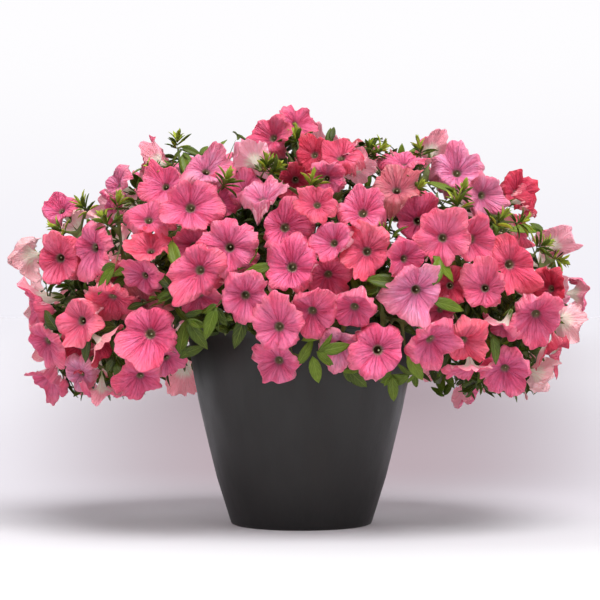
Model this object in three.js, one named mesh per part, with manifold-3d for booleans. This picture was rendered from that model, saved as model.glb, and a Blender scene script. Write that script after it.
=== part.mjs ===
// Potted spreading petunia
// Millimetres, +Z up. The origin is the centre of the pot's flat base. The eye that the
// flowers in front were placed from looks along +Y at the height EYE_HEIGHT.

import * as THREE from "three";
import { mergeVertices } from "three/addons/utils/BufferGeometryUtils.js";
import Module from "manifold-3d";

const wasm = await Module();
wasm.setup();

// Pot
const POT_HEIGHT = 250;
const RIM_RADIUS = 140;
const RIM_EDGE = 1.5;
const BASE_EDGE = 3;
const RIM_BAND_HEIGHT = 14;
const WALL = 5;
const FLOOR_THICKNESS = 6;
const POT_SIDES = 24;
const DRAIN_RADIUS = 7;
const DRAIN_CIRCLE = 48;

// The wall's outer profile, as [radius, height]
const POT_WALL = [
  [84, 0],
  [101.6, 57],
  [121.7, 140],
  [132.8, 203],
  [137.4, 250],
];

// Soil
const SOIL_TOP = 226;
const SOIL_CROWN = 6;
const HOLE_DEPTH = 24;

// Mound that the flowers lie on
const MOUND_MIDDLE = 255;
const MOUND_HALF_WIDTH = 326;
const MOUND_HALF_DEPTH = 252;
const MOUND_RISE = 224;
const MOUND_SQUARENESS = 2.25;
const SKIRT_FRONT = 125;
const SKIRT_SIDE = 205;

// Eye in front of the plant
const EYE_DISTANCE = 2505;
const EYE_HEIGHT = 268;

// The plant's upper outline as that eye sees it, as [x, z] in the plane of the pot's axis
const SKYLINE = [
  [-346, 300],
  [-326, 348],
  [-302, 388],
  [-254, 370],
  [-230, 404],
  [-206, 405],
  [-182, 440],
  [-134, 448],
  [-86, 442],
  [-62, 474],
  [-38, 490],
  [-14, 490],
  [10, 470],
  [58, 470],
  [82, 456],
  [130, 450],
  [178, 448],
  [226, 430],
  [274, 408],
  [298, 356],
  [322, 340],
  [346, 296],
];
const SKYLINE_DEPTH = 14;

// Stems
const OUTER_STEMS = 14;
const INNER_STEMS = 8;
const STEM_RADIUS = 3.2;
const STEM_SIDES = 4;
const STEM_STEPS = 7;
const OUTER_ROOT_CIRCLE = 98;
const INNER_ROOT_CIRCLE = 48;
const PEDICEL = [1.5, 2];
const PETIOLE = [1.3, 1.1];
const ROOT_TRIES = 120;
const LONGEST_SHOOT = 130;
const BRANCH_PARTS = [0.3, 0.5, 0.7];
const SHOOT_SIDES = 6;

// Flowers and leaves
const TUBE_LENGTH = 1.2;
const NOTCH = 0.88;
const HIDDEN_PLACES = 900;
const HIDDEN_SPACING = 65;
const BLADE_THICKNESS = 1.6;
const LEAF_WIDTH = 0.55;
const LEAF_TILT = 0.25;
const LEAF_PLACES = 70;
const TUFT_LENGTH = 24;
const TUFT_STALK = [1.2, 3];
const TUFT_PLACES = 36;

// Gap kept between neighbours
const GAP = 0.35;

// Details finer than this are dropped where pieces are fused
const SIMPLEST = 0.06;

const SEED = 4711;

const PETAL = { color: 0xe85c82, roughness: 0.62, metalness: 0 };
const POT_FINISH = { color: 0x302c2c, roughness: 0.55, metalness: 0 };
const SOIL_FINISH = { color: 0x33261c, roughness: 0.95, metalness: 0 };

// Flowers seen from the front, as [x, z, diameter, yaw, pitch, inset]. x and z lie in the
// plane of the pot's axis as the eye sees it, yaw and pitch turn the face to the right and
// up, and the inset puts a flower that far behind the mound's surface.
const FRONT_FLOWERS = [
  [-291, 380, 51, -25, 35, 0],
  [-226, 407, 50, -60, 20, 0],
  [-237, 381, 50, -75, -10, 12],
  [-334, 320, 60, -115, 0, 0],
  [-294, 316, 71, -15, -12, 0],
  [-257, 327, 71, -40, -8, 8],
  [-272, 245, 63, -30, 0, 0],
  [-237, 262, 58, -20, -50, 8],
  [-183, 227, 74, 0, 5, 0],
  [-323, 261, 65, -75, -15, 0],
  [-310, 212, 58, -45, -25, 0],
  [-306, 167, 50, -60, -55, 0],
  [-268, 178, 46, -30, -25, 4],
  [-281, 206, 50, -40, -20, 18],
  [-258, 159, 50, -20, -65, 6],
  [-237, 156, 50, 10, -65, 10],
  [-194, 171, 52, 5, -40, 0],
  [-164, 179, 50, 30, -40, 14],
  [-233, 297, 50, 10, -20, 24],
  [-210, 264, 50, 20, -10, 24],
  [-233, 214, 50, 60, -30, 12],
  [-184, 372, 63, 0, 35, 0],
  [-130, 381, 74, 0, 12, 0],
  [-166, 408, 56, -15, 25, 6],
  [-114, 428, 63, 15, 40, 0],
  [-180, 436, 50, -120, 20, 0],
  [-99, 407, 50, 20, 20, 22],
  [-38, 467, 58, -25, 15, 0],
  [-5, 483, 50, 30, 30, 6],
  [-62, 436, 50, -150, 30, 6],
  [-47, 398, 58, 0, 55, 0],
  [-70, 408, 50, -20, 30, 18],
  [-128, 303, 70, -12, 0, 0],
  [-88, 332, 71, -8, 0, 4],
  [-184, 333, 52, 0, 45, 4],
  [-195, 296, 50, -30, -20, 10],
  [-136, 336, 50, 0, -10, 20],
  [-130, 270, 56, 0, -45, 18],
  [-70, 272, 67, 0, -15, 0],
  [-30, 238, 68, -8, -8, 0],
  [-32, 189, 60, -10, -20, 0],
  [-12, 314, 75, -5, 5, 0],
  [-16, 362, 71, 0, 10, 4],
  [18, 378, 52, 10, 25, 6],
  [35, 342, 58, -30, 10, 4],
  [82, 329, 67, 0, 0, 0],
  [75, 382, 71, 0, 35, 2],
  [14, 446, 50, -10, 25, 8],
  [46, 441, 60, -5, 45, 0],
  [30, 411, 50, -15, -5, 10],
  [-9, 410, 50, 0, -20, 22],
  [66, 434, 46, 160, 25, 20],
  [112, 411, 67, 0, 38, 2],
  [124, 441, 58, 0, 68, 0],
  [157, 452, 50, 170, 40, 10],
  [188, 426, 71, 0, 30, 0],
  [224, 392, 65, 30, -5, 4],
  [261, 401, 50, 20, 25, 2],
  [268, 381, 50, 100, 10, 12],
  [283, 366, 44, 60, 0, 0],
  [213, 341, 68, 20, -8, 4],
  [259, 314, 75, 12, 0, 0],
  [218, 286, 60, -8, 0, 4],
  [138, 278, 72, 8, -12, 0],
  [124, 314, 54, 30, 10, 12],
  [169, 344, 68, 0, -12, 0],
  [147, 377, 65, 0, -10, 14],
  [159, 215, 63, 30, -35, 0],
  [200, 212, 58, 8, -35, 0],
  [93, 207, 75, 5, 0, 0],
  [61, 252, 58, -8, -30, 4],
  [12, 251, 63, -5, -30, 4],
  [33, 298, 57, 0, -20, 18],
  [45, 208, 50, 0, -30, 18],
  [183, 285, 50, 0, 0, 22],
  [176, 255, 40, 0, -20, 34],
  [283, 244, 65, 0, -30, 0],
  [248, 180, 59, 0, -30, 0],
  [289, 176, 50, 120, -20, 2],
  [200, 179, 50, 0, -75, 6],
  [302, 204, 50, 70, -60, 4],
  [236, 231, 50, -60, -40, 16],
  [283, 280, 50, -40, 0, 18],
  [314, 284, 50, 98, 8, 0],
  [339, 274, 57, 95, 0, 0],
  [321, 240, 50, 140, -10, 4],
  [309, 340, 50, 120, 30, 4],
];

// Broad leaves between the flowers in front, as [x, z, length, lean], where the lean turns
// the tip clockwise from straight up.
const FRONT_LEAVES = [
  [-219, 309, 40, -20],
  [-237, 293, 38, 200],
  [-303, 244, 36, -60],
  [-249, 231, 38, 120],
  [-261, 209, 36, -140],
  [-224, 212, 34, 150],
  [-217, 175, 36, 170],
  [-206, 189, 36, 110],
  [-156, 327, 38, 10],
  [-171, 297, 38, -150],
  [-146, 220, 40, 60],
  [-155, 200, 40, 170],
  [-49, 341, 40, 160],
  [-54, 305, 38, -120],
  [5, 201, 34, 60],
  [17, 183, 36, 170],
  [17, 220, 34, -40],
  [41, 210, 34, 80],
  [50, 184, 36, 190],
  [67, 170, 34, 160],
  [110, 160, 36, 175],
  [33, 268, 40, 30],
  [177, 262, 40, 100],
  [163, 304, 38, 20],
  [157, 238, 38, -110],
  [137, 186, 38, 150],
  [113, 165, 34, -160],
  [251, 244, 38, 60],
  [233, 208, 36, 160],
  [100, 293, 38, -30],
  [-80, 345, 36, 40],
  [110, 350, 38, 0],
  [-110, 240, 38, -160],
  [-75, 228, 40, 170],
];

// Tufts of narrow young leaves in front, as [x, z, lean].
const FRONT_TUFTS = [
  [-146, 460, 0],
  [-180, 424, -40],
  [-104, 428, 10],
  [-88, 414, 20],
  [-86, 352, 40],
  [-47, 370, 60],
  [-6, 466, 0],
  [-42, 437, -20],
  [-28, 430, 20],
  [13, 412, 10],
  [74, 368, -20],
  [82, 451, 10],
  [97, 448, 30],
  [101, 357, 0],
  [140, 451, 0],
  [193, 401, 20],
  [184, 387, -10],
  [145, 411, 0],
  [240, 366, 40],
  [267, 361, 60],
  [292, 334, 60],
  [321, 317, 60],
  [-263, 382, -40],
  [-218, 387, 10],
  [-236, 365, -30],
  [-294, 352, -60],
  [-317, 273, -90],
];

// Seeded draw, the same in every run
let drawState = SEED;
function draw(low = 0, high = 1) {
  drawState = (drawState * 16807) % 2147483647;
  return low + ((high - low) * drawState) / 2147483647;
}

// Solids from geometry and back
function solidOf(geometry) {
  const bare = geometry.clone();
  bare.deleteAttribute("normal");
  bare.deleteAttribute("uv");
  const merged = mergeVertices(bare, 1e-4);
  return new wasm.Manifold(
    new wasm.Mesh({
      numProp: 3,
      vertProperties: new Float32Array(merged.attributes.position.array),
      triVerts: new Uint32Array(merged.index.array),
    }),
  );
}

function geometryOf(solid) {
  const mesh = solid.getMesh();
  const geometry = new THREE.BufferGeometry();
  geometry.setAttribute("position", new THREE.BufferAttribute(mesh.vertProperties, 3));
  geometry.setIndex(new THREE.BufferAttribute(mesh.triVerts, 1));
  geometry.computeVertexNormals();
  return geometry;
}

function joined(solids) {
  let whole = solids[0];
  for (const solid of solids.slice(1)) {
    whole = whole.add(solid);
  }
  return whole;
}

function largestBody(solid) {
  const bodies = solid.decompose();
  bodies.sort((a, b) => b.volume() - a.volume());
  return bodies[0];
}

function boxesMeet(a, b, margin = 0) {
  const p = a.boundingBox();
  const q = b.boundingBox();
  for (let axis = 0; axis < 3; axis += 1) {
    if (p.min[axis] > q.max[axis] + margin || q.min[axis] > p.max[axis] + margin) {
      return false;
    }
  }
  return true;
}

function closedFrom(points, faces) {
  const geometry = new THREE.BufferGeometry().setFromPoints(points);
  geometry.setIndex(faces.flat());
  return geometry;
}

// The mound: below 1 inside it, 1 on it
function moundLevel(p) {
  const side = Math.abs(p.x) / MOUND_HALF_WIDTH;
  const depth = Math.abs(p.y) / MOUND_HALF_DEPTH;
  const power = MOUND_SQUARENESS;
  const plan = Math.pow(Math.pow(side, power) + Math.pow(depth, power), 2 / power);
  const toSide = side * side / Math.max(side * side + depth * depth, 1e-6);
  const skirt = SKIRT_FRONT + (SKIRT_SIDE - SKIRT_FRONT) * toSide;
  const up = p.z - MOUND_MIDDLE;
  const rise = up > 0 ? up / MOUND_RISE : up / skirt;
  return plan + rise * rise;
}

function moundNormal(p) {
  const step = 1;
  const slope = (axis) => {
    const ahead = p.clone();
    const behind = p.clone();
    ahead[axis] += step;
    behind[axis] -= step;
    return moundLevel(ahead) - moundLevel(behind);
  };
  return new THREE.Vector3(slope("x"), slope("y"), slope("z")).normalize();
}

// The place on the mound that the eye sees at x, z in the axis plane, or the nearest to it
function placeOnMound(x, z, inset) {
  const eye = new THREE.Vector3(0, -EYE_DISTANCE, EYE_HEIGHT);
  const aim = new THREE.Vector3(x, 0, z).sub(eye).divideScalar(EYE_DISTANCE);
  let best = null;
  let lowest = Infinity;
  for (let y = -MOUND_HALF_DEPTH; y <= 40; y += 2) {
    const p = eye.clone().addScaledVector(aim, EYE_DISTANCE + y);
    const level = moundLevel(p);
    if (level < lowest) {
      lowest = level;
      best = p;
    }
    if (level <= 1) {
      break;
    }
  }
  return best.addScaledVector(aim, inset);
}

// Lowers a place that no photograph shows until it stays behind what the photograph shows
function underSkyline(place, depth) {
  const nearer = EYE_DISTANCE / (EYE_DISTANCE + place.y);
  const x = place.x * nearer;
  const next = SKYLINE.findIndex(([side]) => side > x);
  let top = SKYLINE[next < 0 ? SKYLINE.length - 1 : 0][1];
  if (next > 0) {
    const [lowSide, lowTop] = SKYLINE[next - 1];
    const [highSide, highTop] = SKYLINE[next];
    top = lowTop + ((highTop - lowTop) * (x - lowSide)) / (highSide - lowSide);
  }
  const seen = EYE_HEIGHT + (place.z - EYE_HEIGHT) * nearer;
  const over = Math.max(0, seen - (top - depth)) / nearer;
  return place.clone().setZ(place.z - over);
}

function facing(yaw, pitch) {
  const a = THREE.MathUtils.degToRad(yaw);
  const b = THREE.MathUtils.degToRad(pitch);
  return new THREE.Vector3(Math.sin(a) * Math.cos(b), -Math.cos(a) * Math.cos(b), Math.sin(b));
}

// Flowers: those in front by hand, then the back and the top by an even spiral over the
// mound that skips what is taken
function placeFlowers() {
  const flowers = FRONT_FLOWERS.map(([x, z, diameter, yaw, pitch, inset]) => ({
    centre: placeOnMound(x, z, inset),
    radius: diameter / 2,
    face: facing(yaw, pitch),
    spin: draw(0, 72),
    wave: draw(-1, 1),
  }));
  const turns = HIDDEN_PLACES;
  for (let i = 0; i < turns; i += 1) {
    const height = 1 - (2 * (i + 0.5)) / turns;
    const around = i * Math.PI * (3 - Math.sqrt(5));
    const ring = Math.sqrt(1 - height * height);
    const way = new THREE.Vector3(ring * Math.cos(around), ring * Math.sin(around), height);
    const centre = new THREE.Vector3(0, 0, MOUND_MIDDLE);
    let reach = 100;
    while (moundLevel(centre.clone().addScaledVector(way, reach)) < 1) {
      reach += 2;
    }
    centre.addScaledVector(way, reach);
    const clear = flowers.every((flower) => flower.centre.distanceTo(centre) > HIDDEN_SPACING);
    const inPot = centre.z < POT_HEIGHT + 30 && Math.hypot(centre.x, centre.y) < RIM_RADIUS + 42;
    if (clear && centre.y > -15 && !inPot && centre.z > 158) {
      const size = draw(56, 66);
      const yaw = draw(-16, 16);
      const pitch = draw(-12, 16);
      const spin = draw(0, 72);
      const wave = draw(-1, 1);
      const out = moundNormal(centre);
      out.z = out.z * 0.75 + 0.04;
      out.applyAxisAngle(new THREE.Vector3(0, 0, 1), THREE.MathUtils.degToRad(yaw));
      out.z += Math.sin(THREE.MathUtils.degToRad(pitch));
      const lowered = underSkyline(centre, SKYLINE_DEPTH);
      flowers.push({ centre: lowered, radius: size / 2, face: out.normalize(), spin, wave });
    }
  }
  return flowers;
}

function frameOf(face, spin) {
  const side = new THREE.Vector3(0, 0, 1).cross(face);
  if (side.length() < 0.05) {
    side.set(1, 0, 0);
  }
  side.normalize();
  const top = face.clone().cross(side).normalize();
  side.applyAxisAngle(face, THREE.MathUtils.degToRad(spin));
  top.applyAxisAngle(face, THREE.MathUtils.degToRad(spin));
  return { side, top, face };
}

// Three points round a place, square to a way. The first lies to the side, which is square
// to the axis and is turned with it, so that two rings of one shoot are never twisted.
function triangleRing(place, way, axis, side, radius) {
  const turned = new THREE.Quaternion().setFromUnitVectors(axis, way);
  const first = side.clone().applyQuaternion(turned);
  const second = way.clone().cross(first);
  return [0, 120, 240].map((degrees) => {
    const turn = THREE.MathUtils.degToRad(degrees);
    return place
      .clone()
      .addScaledVector(first, Math.cos(turn) * radius)
      .addScaledVector(second, Math.sin(turn) * radius);
  });
}

// One flower: a limb of five broad lobes, a throat sunk into it, a tapering tube behind and,
// once it has a root on a stem, its pedicel. The rim's points are shared by both faces,
// which are split alike.
function flowerSolid(flower, grown = 0, root = null) {
  const { side, top, face } = frameOf(flower.face, flower.spin);
  const at = (radius, degrees, height) => {
    const turn = THREE.MathUtils.degToRad(degrees);
    return flower.centre
      .clone()
      .addScaledVector(side, Math.cos(turn) * radius)
      .addScaledVector(top, Math.sin(turn) * radius)
      .addScaledVector(face, height);
  };
  const r = flower.radius;
  const points = [];
  const faces = [];
  const ruffle = 0.05 * r * flower.wave;
  const rim = (height) => {
    for (let lobe = 0; lobe < 5; lobe += 1) {
      const turn = lobe * 72;
      const lift = lobe % 2 === 0 ? ruffle : -ruffle;
      points.push(at(r + grown, turn, height + lift));
      points.push(at(NOTCH * r + grown, turn + 36, height + 0.05 * r));
    }
  };
  const ring = (radius, height) => {
    for (let lobe = 0; lobe < 5; lobe += 1) {
      points.push(at(radius, lobe * 72, height));
    }
  };
  rim(grown);
  const back = grown > 0 ? 10 : 0;
  if (grown > 0) {
    rim(-grown);
  }
  const inner = points.length;
  ring(0.25 * r, -0.2 * r + grown);
  const outer = points.length;
  ring(0.27 * r + grown, -0.32 * r - grown);
  const throat = points.length;
  points.push(at(0, 0, grown > 0 ? -0.2 * r + grown : -0.62 * r));
  const calyx = points.length;
  if (root) {
    const foot = at(0, 0, -TUBE_LENGTH * r);
    const way = foot.clone().sub(root).normalize();
    const bend = way.clone().add(face).normalize();
    points.push(...triangleRing(foot, bend, face, side, PEDICEL[1]));
    points.push(...triangleRing(root, way, face, side, PEDICEL[0]));
    const hoop = [[0, 1, 0], [1, 2, 1], [2, 3, 1], [3, 4, 2], [4, 0, 0]];
    hoop.forEach(([lobe, next, corner]) => {
      faces.push([calyx + corner, outer + next, outer + lobe]);
    });
    [[0, 1, 1], [1, 2, 3], [2, 0, 4]].forEach(([corner, next, lobe]) => {
      faces.push([calyx + corner, calyx + next, outer + lobe]);
      faces.push([calyx + next, calyx + corner, calyx + 3 + corner]);
      faces.push([calyx + next, calyx + 3 + corner, calyx + 3 + next]);
    });
    faces.push([calyx + 3, calyx + 5, calyx + 4]);
  } else {
    points.push(at(0, 0, -TUBE_LENGTH * r - 2 * grown));
  }
  for (let lobe = 0; lobe < 5; lobe += 1) {
    const next = (lobe + 1) % 5;
    const near = 2 * lobe;
    const far = 2 * next;
    faces.push([inner + lobe, near, near + 1]);
    faces.push([inner + lobe, near + 1, inner + next]);
    faces.push([inner + next, near + 1, far]);
    faces.push([throat, inner + lobe, inner + next]);
    faces.push([outer + lobe, back + near + 1, back + near]);
    faces.push([outer + lobe, outer + next, back + near + 1]);
    faces.push([outer + next, back + far, back + near + 1]);
    if (!root) {
      faces.push([calyx, outer + next, outer + lobe]);
    }
    if (grown > 0) {
      for (const [a, b] of [[near, near + 1], [near + 1, far]]) {
        faces.push([a, back + a, back + b]);
        faces.push([a, back + b, b]);
      }
    }
  }
  return solidOf(closedFrom(points, faces));
}

// A leaf: a lens over a six-point outline, folded along its midrib and drooping at the tip,
// and a three-sided petiole once it has a root on a stem
function leafSolid(blade, grown = 0, root = null) {
  const { base, along, normal, length, width } = blade;
  const across = along.clone().cross(normal).normalize();
  const at = (part, side, height) => base
    .clone()
    .addScaledVector(along, part * length)
    .addScaledVector(across, side * (width / 2 + grown))
    .addScaledVector(normal, height - 0.16 * length * part * part);
  const fold = 0.14 * width;
  const half = BLADE_THICKNESS / 2 + grown;
  const points = [
    at(0.25, 0.86, fold),
    at(0.62, 0.9, fold),
    at(1 + grown / length, 0, 0),
    at(0.62, -0.9, fold),
    at(0.25, -0.86, fold),
    at(0.42, 0, half),
    at(0.42, 0, -half),
  ];
  const [right, rightEnd, tip, leftEnd, left, above, below] = [0, 1, 2, 3, 4, 5, 6];
  const faces = [
    [above, right, rightEnd],
    [above, rightEnd, tip],
    [above, tip, leftEnd],
    [above, leftEnd, left],
    [below, rightEnd, right],
    [below, tip, rightEnd],
    [below, leftEnd, tip],
    [below, left, leftEnd],
  ];
  if (root) {
    const way = base.clone().sub(root).normalize();
    const bend = way.clone().add(along).normalize();
    points.push(...triangleRing(base, bend, along, normal, PETIOLE[1]));
    points.push(...triangleRing(root, way, along, normal, PETIOLE[0]));
    const [up, lowRight, lowLeft] = [7, 8, 9];
    faces.push([above, left, up]);
    faces.push([above, up, right]);
    faces.push([below, lowLeft, left]);
    faces.push([below, lowRight, lowLeft]);
    faces.push([below, right, lowRight]);
    faces.push([right, up, lowRight]);
    faces.push([up, left, lowLeft]);
    [[7, 8], [8, 9], [9, 7]].forEach(([a, b]) => {
      faces.push([b, a, a + 3]);
      faces.push([b, a + 3, b + 3]);
    });
    faces.push([10, 12, 11]);
  } else {
    points.push(at(-grown / length, 0, 0));
    faces.push([above, left, 7]);
    faces.push([above, 7, right]);
    faces.push([below, 7, left]);
    faces.push([below, right, 7]);
  }
  return solidOf(closedFrom(points, faces));
}

// A tuft: three narrow young leaves that spread from the end of their stalk
function tuftSolid(tuft, grown = 0, root = null) {
  const { foot, along, normal, length } = tuft;
  const wide = TUFT_STALK[1] + grown;
  const ring = triangleRing(foot, along, along, normal, wide);
  const points = ring.slice();
  points.push(foot.clone().addScaledVector(along, 0.6 * wide + grown));
  for (let i = 0; i < 3; i += 1) {
    const outwards = ring[i].clone().add(ring[(i + 1) % 3]).multiplyScalar(0.5).sub(foot).normalize();
    const reach = i === 1 ? 1 : 0.84;
    const tip = foot.clone().addScaledVector(along, (length + grown) * 0.84 * reach);
    points.push(tip.addScaledVector(outwards, length * 0.52 * reach));
  }
  const tail = root || foot.clone().addScaledVector(along, -3 * wide);
  const way = foot.clone().sub(tail).normalize();
  points.push(...triangleRing(tail, way, along, normal, TUFT_STALK[0] + grown));
  const faces = [[7, 9, 8]];
  for (let i = 0; i < 3; i += 1) {
    const next = (i + 1) % 3;
    faces.push([i, next, 4 + i]);
    faces.push([next, 3, 4 + i]);
    faces.push([3, i, 4 + i]);
    faces.push([7 + i, 7 + next, next]);
    faces.push([7 + i, next, i]);
  }
  return solidOf(closedFrom(points, faces));
}

// A straight shoot between two points, a little thicker at one end
function shootSolid(from, to, radiusFrom, radiusTo) {
  const way = to.clone().sub(from);
  const length = way.length();
  const shoot = new THREE.CylinderGeometry(radiusTo, radiusFrom, length, SHOOT_SIDES);
  shoot.translate(0, length / 2, 0);
  const turn = new THREE.Quaternion().setFromUnitVectors(new THREE.Vector3(0, 1, 0), way.normalize());
  shoot.applyQuaternion(turn);
  shoot.translate(from.x, from.y, from.z);
  return solidOf(shoot).simplify(0.001);
}

function polygonShape(radius, sides) {
  const shape = new THREE.Shape();
  for (let i = 0; i < sides; i += 1) {
    const turn = (i / sides) * 2 * Math.PI;
    if (i === 0) {
      shape.moveTo(radius, 0);
    } else {
      shape.lineTo(radius * Math.cos(turn), radius * Math.sin(turn));
    }
  }
  shape.closePath();
  return shape;
}

function stemSolid(stem, grown = 0) {
  const options = { steps: stem.steps, bevelEnabled: false, extrudePath: stem.path };
  const shape = polygonShape(STEM_RADIUS + grown, STEM_SIDES);
  return solidOf(new THREE.ExtrudeGeometry(shape, options));
}

// What stands where: every piece with its stem, so that the next one can be kept clear
const taken = [];

function isClear(solid, except = []) {
  return taken.every((piece) => except.includes(piece) || !boxesMeet(piece.solid, solid)
    || piece.solid.intersect(solid).isEmpty());
}

function take(owner, solid) {
  const piece = { owner, solid };
  taken.push(piece);
  return piece;
}

// Stems: each goes straight up from its hole, arches out under the flowers and, in the
// outer ring, over the rim and down
function placeStems() {
  const stems = [];
  const add = (count, offset, rootCircle, tall) => {
    for (let i = 0; i < count; i += 1) {
      const around = ((i + offset) / count) * 2 * Math.PI + draw(-0.05, 0.05);
      const c = Math.cos(around);
      const s = Math.sin(around);
      const power = MOUND_SQUARENESS;
      const plan = Math.pow(Math.abs(c) / MOUND_HALF_WIDTH, power)
        + Math.pow(Math.abs(s) / MOUND_HALF_DEPTH, power);
      const reach = Math.pow(plan, -1 / power);
      const at = (distance, z) => new THREE.Vector3(c * distance, s * distance, z);
      const hang = c * c;
      const way = [at(rootCircle, SOIL_TOP - HOLE_DEPTH + GAP), at(rootCircle, SOIL_TOP + 22)];
      if (tall) {
        way.push(at(0.2 * reach, 325));
        way.push(at(0.32 * reach, 372));
        way.push(at(0.46 * reach, 388 - 8 * hang));
        way.push(at(0.58 * reach, 380 - 10 * hang));
      } else {
        way.push(at(0.44 * reach, 300));
        way.push(at(0.58 * reach, 312 - 6 * hang));
        way.push(at(0.66 * reach + 6, 276 - 6 * hang));
        way.push(at(0.68 * reach + 8, 232 - 26 * hang));
      }
      const path = new THREE.CatmullRomCurve3(way);
      const stem = { path, root: way[0], steps: STEM_STEPS, pieces: [], nodes: [] };
      const piece = take(stems.length, stemSolid(stem));
      stem.pieces.push(piece.solid);
      const joints = path.getSpacedPoints(STEM_STEPS);
      for (let step = 2; step < STEM_STEPS; step += 1) {
        [0, 0.33, 0.67].forEach((part) => {
          const point = joints[step].clone().lerp(joints[step + 1], part);
          stem.nodes.push({ point, piece });
        });
      }
      stems.push(stem);
    }
  };
  add(OUTER_STEMS, 0.5, OUTER_ROOT_CIRCLE, false);
  add(INNER_STEMS, 0.25, INNER_ROOT_CIRCLE, true);
  return stems;
}

// Every small move and turn of a flower, from the least: [inwards, yaw, pitch]
function smallMoves() {
  const moves = [];
  for (let inwards = -12; inwards <= 33; inwards += 3) {
    for (const [yaw, pitch] of [[0, 0], [9, 0], [-9, 0], [0, 9], [0, -9], [16, 0], [-16, 0], [0, 16], [0, -16]]) {
      const cost = (inwards < 0 ? -1.5 * inwards : inwards) + 0.7 * (Math.abs(yaw) + Math.abs(pitch));
      moves.push({ inwards, yaw, pitch, cost });
    }
  }
  return moves.sort((a, b) => a.cost - b.cost);
}

// Moves and turns a flower a little until it is clear of the others
function settleFlowers(flowers) {
  const moves = smallMoves();
  const up = new THREE.Vector3(0, 0, 1);
  return flowers.filter((flower) => {
    const start = flower.centre.clone();
    const face = flower.face.clone();
    const out = moundNormal(start);
    const { side } = frameOf(face, 0);
    for (const { inwards, yaw, pitch } of moves) {
      flower.centre = start.clone().addScaledVector(out, -inwards);
      flower.face = face
        .clone()
        .applyAxisAngle(side, THREE.MathUtils.degToRad(pitch))
        .applyAxisAngle(up, THREE.MathUtils.degToRad(yaw));
      if (isClear(flowerSolid(flower, GAP))) {
        flower.piece = take(null, flowerSolid(flower));
        return true;
      }
    }
    return false;
  });
}

// The nearest places on the stems and shoots that a new shoot can leave from
function rootsNear(stems, target, face) {
  const found = [];
  stems.forEach((stem, owner) => {
    stem.nodes.forEach(({ point, piece }) => {
      const way = target.clone().sub(point);
      const distance = way.length();
      const straight = way.dot(face) / distance;
      if (distance > 7 && distance < LONGEST_SHOOT && straight > 0.25) {
        found.push({ owner, point, piece, cost: distance * (1.5 - 0.5 * straight) });
      }
    });
  });
  found.sort((a, b) => a.cost - b.cost);
  return found.slice(0, ROOT_TRIES);
}

// Finds the nearest root from which a shoot reaches the end past everything in between
function reachTo(stems, end, face, own, radii) {
  for (const root of rootsNear(stems, end, face)) {
    const wide = shootSolid(root.point, end, radii[0] + GAP, radii[1] + GAP);
    if (isClear(wide, own.concat([root.piece]))) {
      const piece = take(root.owner, shootSolid(root.point, end, radii[0], radii[1]));
      const reach = root.point.distanceTo(end);
      BRANCH_PARTS.forEach((part) => {
        if (reach * part > 8) {
          stems[root.owner].nodes.push({ point: root.point.clone().lerp(end, part), piece });
        }
      });
      return root;
    }
  }
  return null;
}

function joinFlowers(stems, flowers) {
  const footOf = (flower) => flower.centre
    .clone()
    .addScaledVector(flower.face, -TUBE_LENGTH * flower.radius);
  const order = flowers.map((flower) => {
    const roots = rootsNear(stems, footOf(flower), flower.face);
    return { flower, cost: roots.length > 0 ? roots[0].cost : 999 };
  });
  order.sort((a, b) => a.cost - b.cost);
  const joinedFlowers = [];
  for (const { flower } of order) {
    const start = flower.face.clone();
    const { side } = frameOf(start, 0);
    for (const nod of [0, 12, -12, 24, -24, 36]) {
      flower.face = start.clone().applyAxisAngle(side, THREE.MathUtils.degToRad(nod));
      const own = [flower.piece];
      const free = nod === 0 || isClear(flowerSolid(flower, GAP), own);
      const root = free ? reachTo(stems, footOf(flower), flower.face, own, PEDICEL) : null;
      if (root) {
        flower.piece.owner = root.owner;
        flower.piece.solid = flowerSolid(flower);
        stems[root.owner].pieces.push(flowerSolid(flower, 0, root.point));
        joinedFlowers.push(flower);
        break;
      }
    }
  }
  return joinedFlowers;
}

// Leaves and tufts, each turned a little until it is clear of everything and a stem
// can reach it
function bladeAt(place, lean, length, width, tilt) {
  const normal = moundNormal(place);
  normal.z = normal.z * 0.8 + tilt;
  normal.normalize();
  const turn = THREE.MathUtils.degToRad(lean);
  const sideways = new THREE.Vector3(1, 0, 0);
  if (place.y > 0) {
    const outwards = new THREE.Vector3(place.x, place.y, 0);
    sideways.set(0, 0, 1).cross(outwards).normalize();
  }
  const along = new THREE.Vector3(0, 0, Math.cos(turn)).addScaledVector(sideways, Math.sin(turn));
  along.addScaledVector(normal, -0.75 * along.dot(normal)).normalize();
  const flat = normal.clone().addScaledVector(along, -normal.dot(along)).normalize();
  const base = place.clone().addScaledVector(along, -length / 2);
  return { base, along, normal: flat, length, width };
}

function growLeaf(stems, place, lean, length) {
  const tries = [0, 15, -15, 30, -30, 50, -50, 75, -75, 110, -110, 150];
  for (let i = 0; i < tries.length; i += 1) {
    const spot = place.clone().addScaledVector(moundNormal(place), -1.5 * i);
    const blade = bladeAt(spot, lean + tries[i], length, length * LEAF_WIDTH, LEAF_TILT);
    if (isClear(leafSolid(blade, GAP))) {
      const face = blade.normal.clone().multiplyScalar(0.7).add(blade.along).normalize();
      const root = reachTo(stems, blade.base, face, [], PETIOLE);
      if (root) {
        take(root.owner, leafSolid(blade));
        stems[root.owner].pieces.push(leafSolid(blade, 0, root.point));
        return;
      }
    }
  }
}

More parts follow.
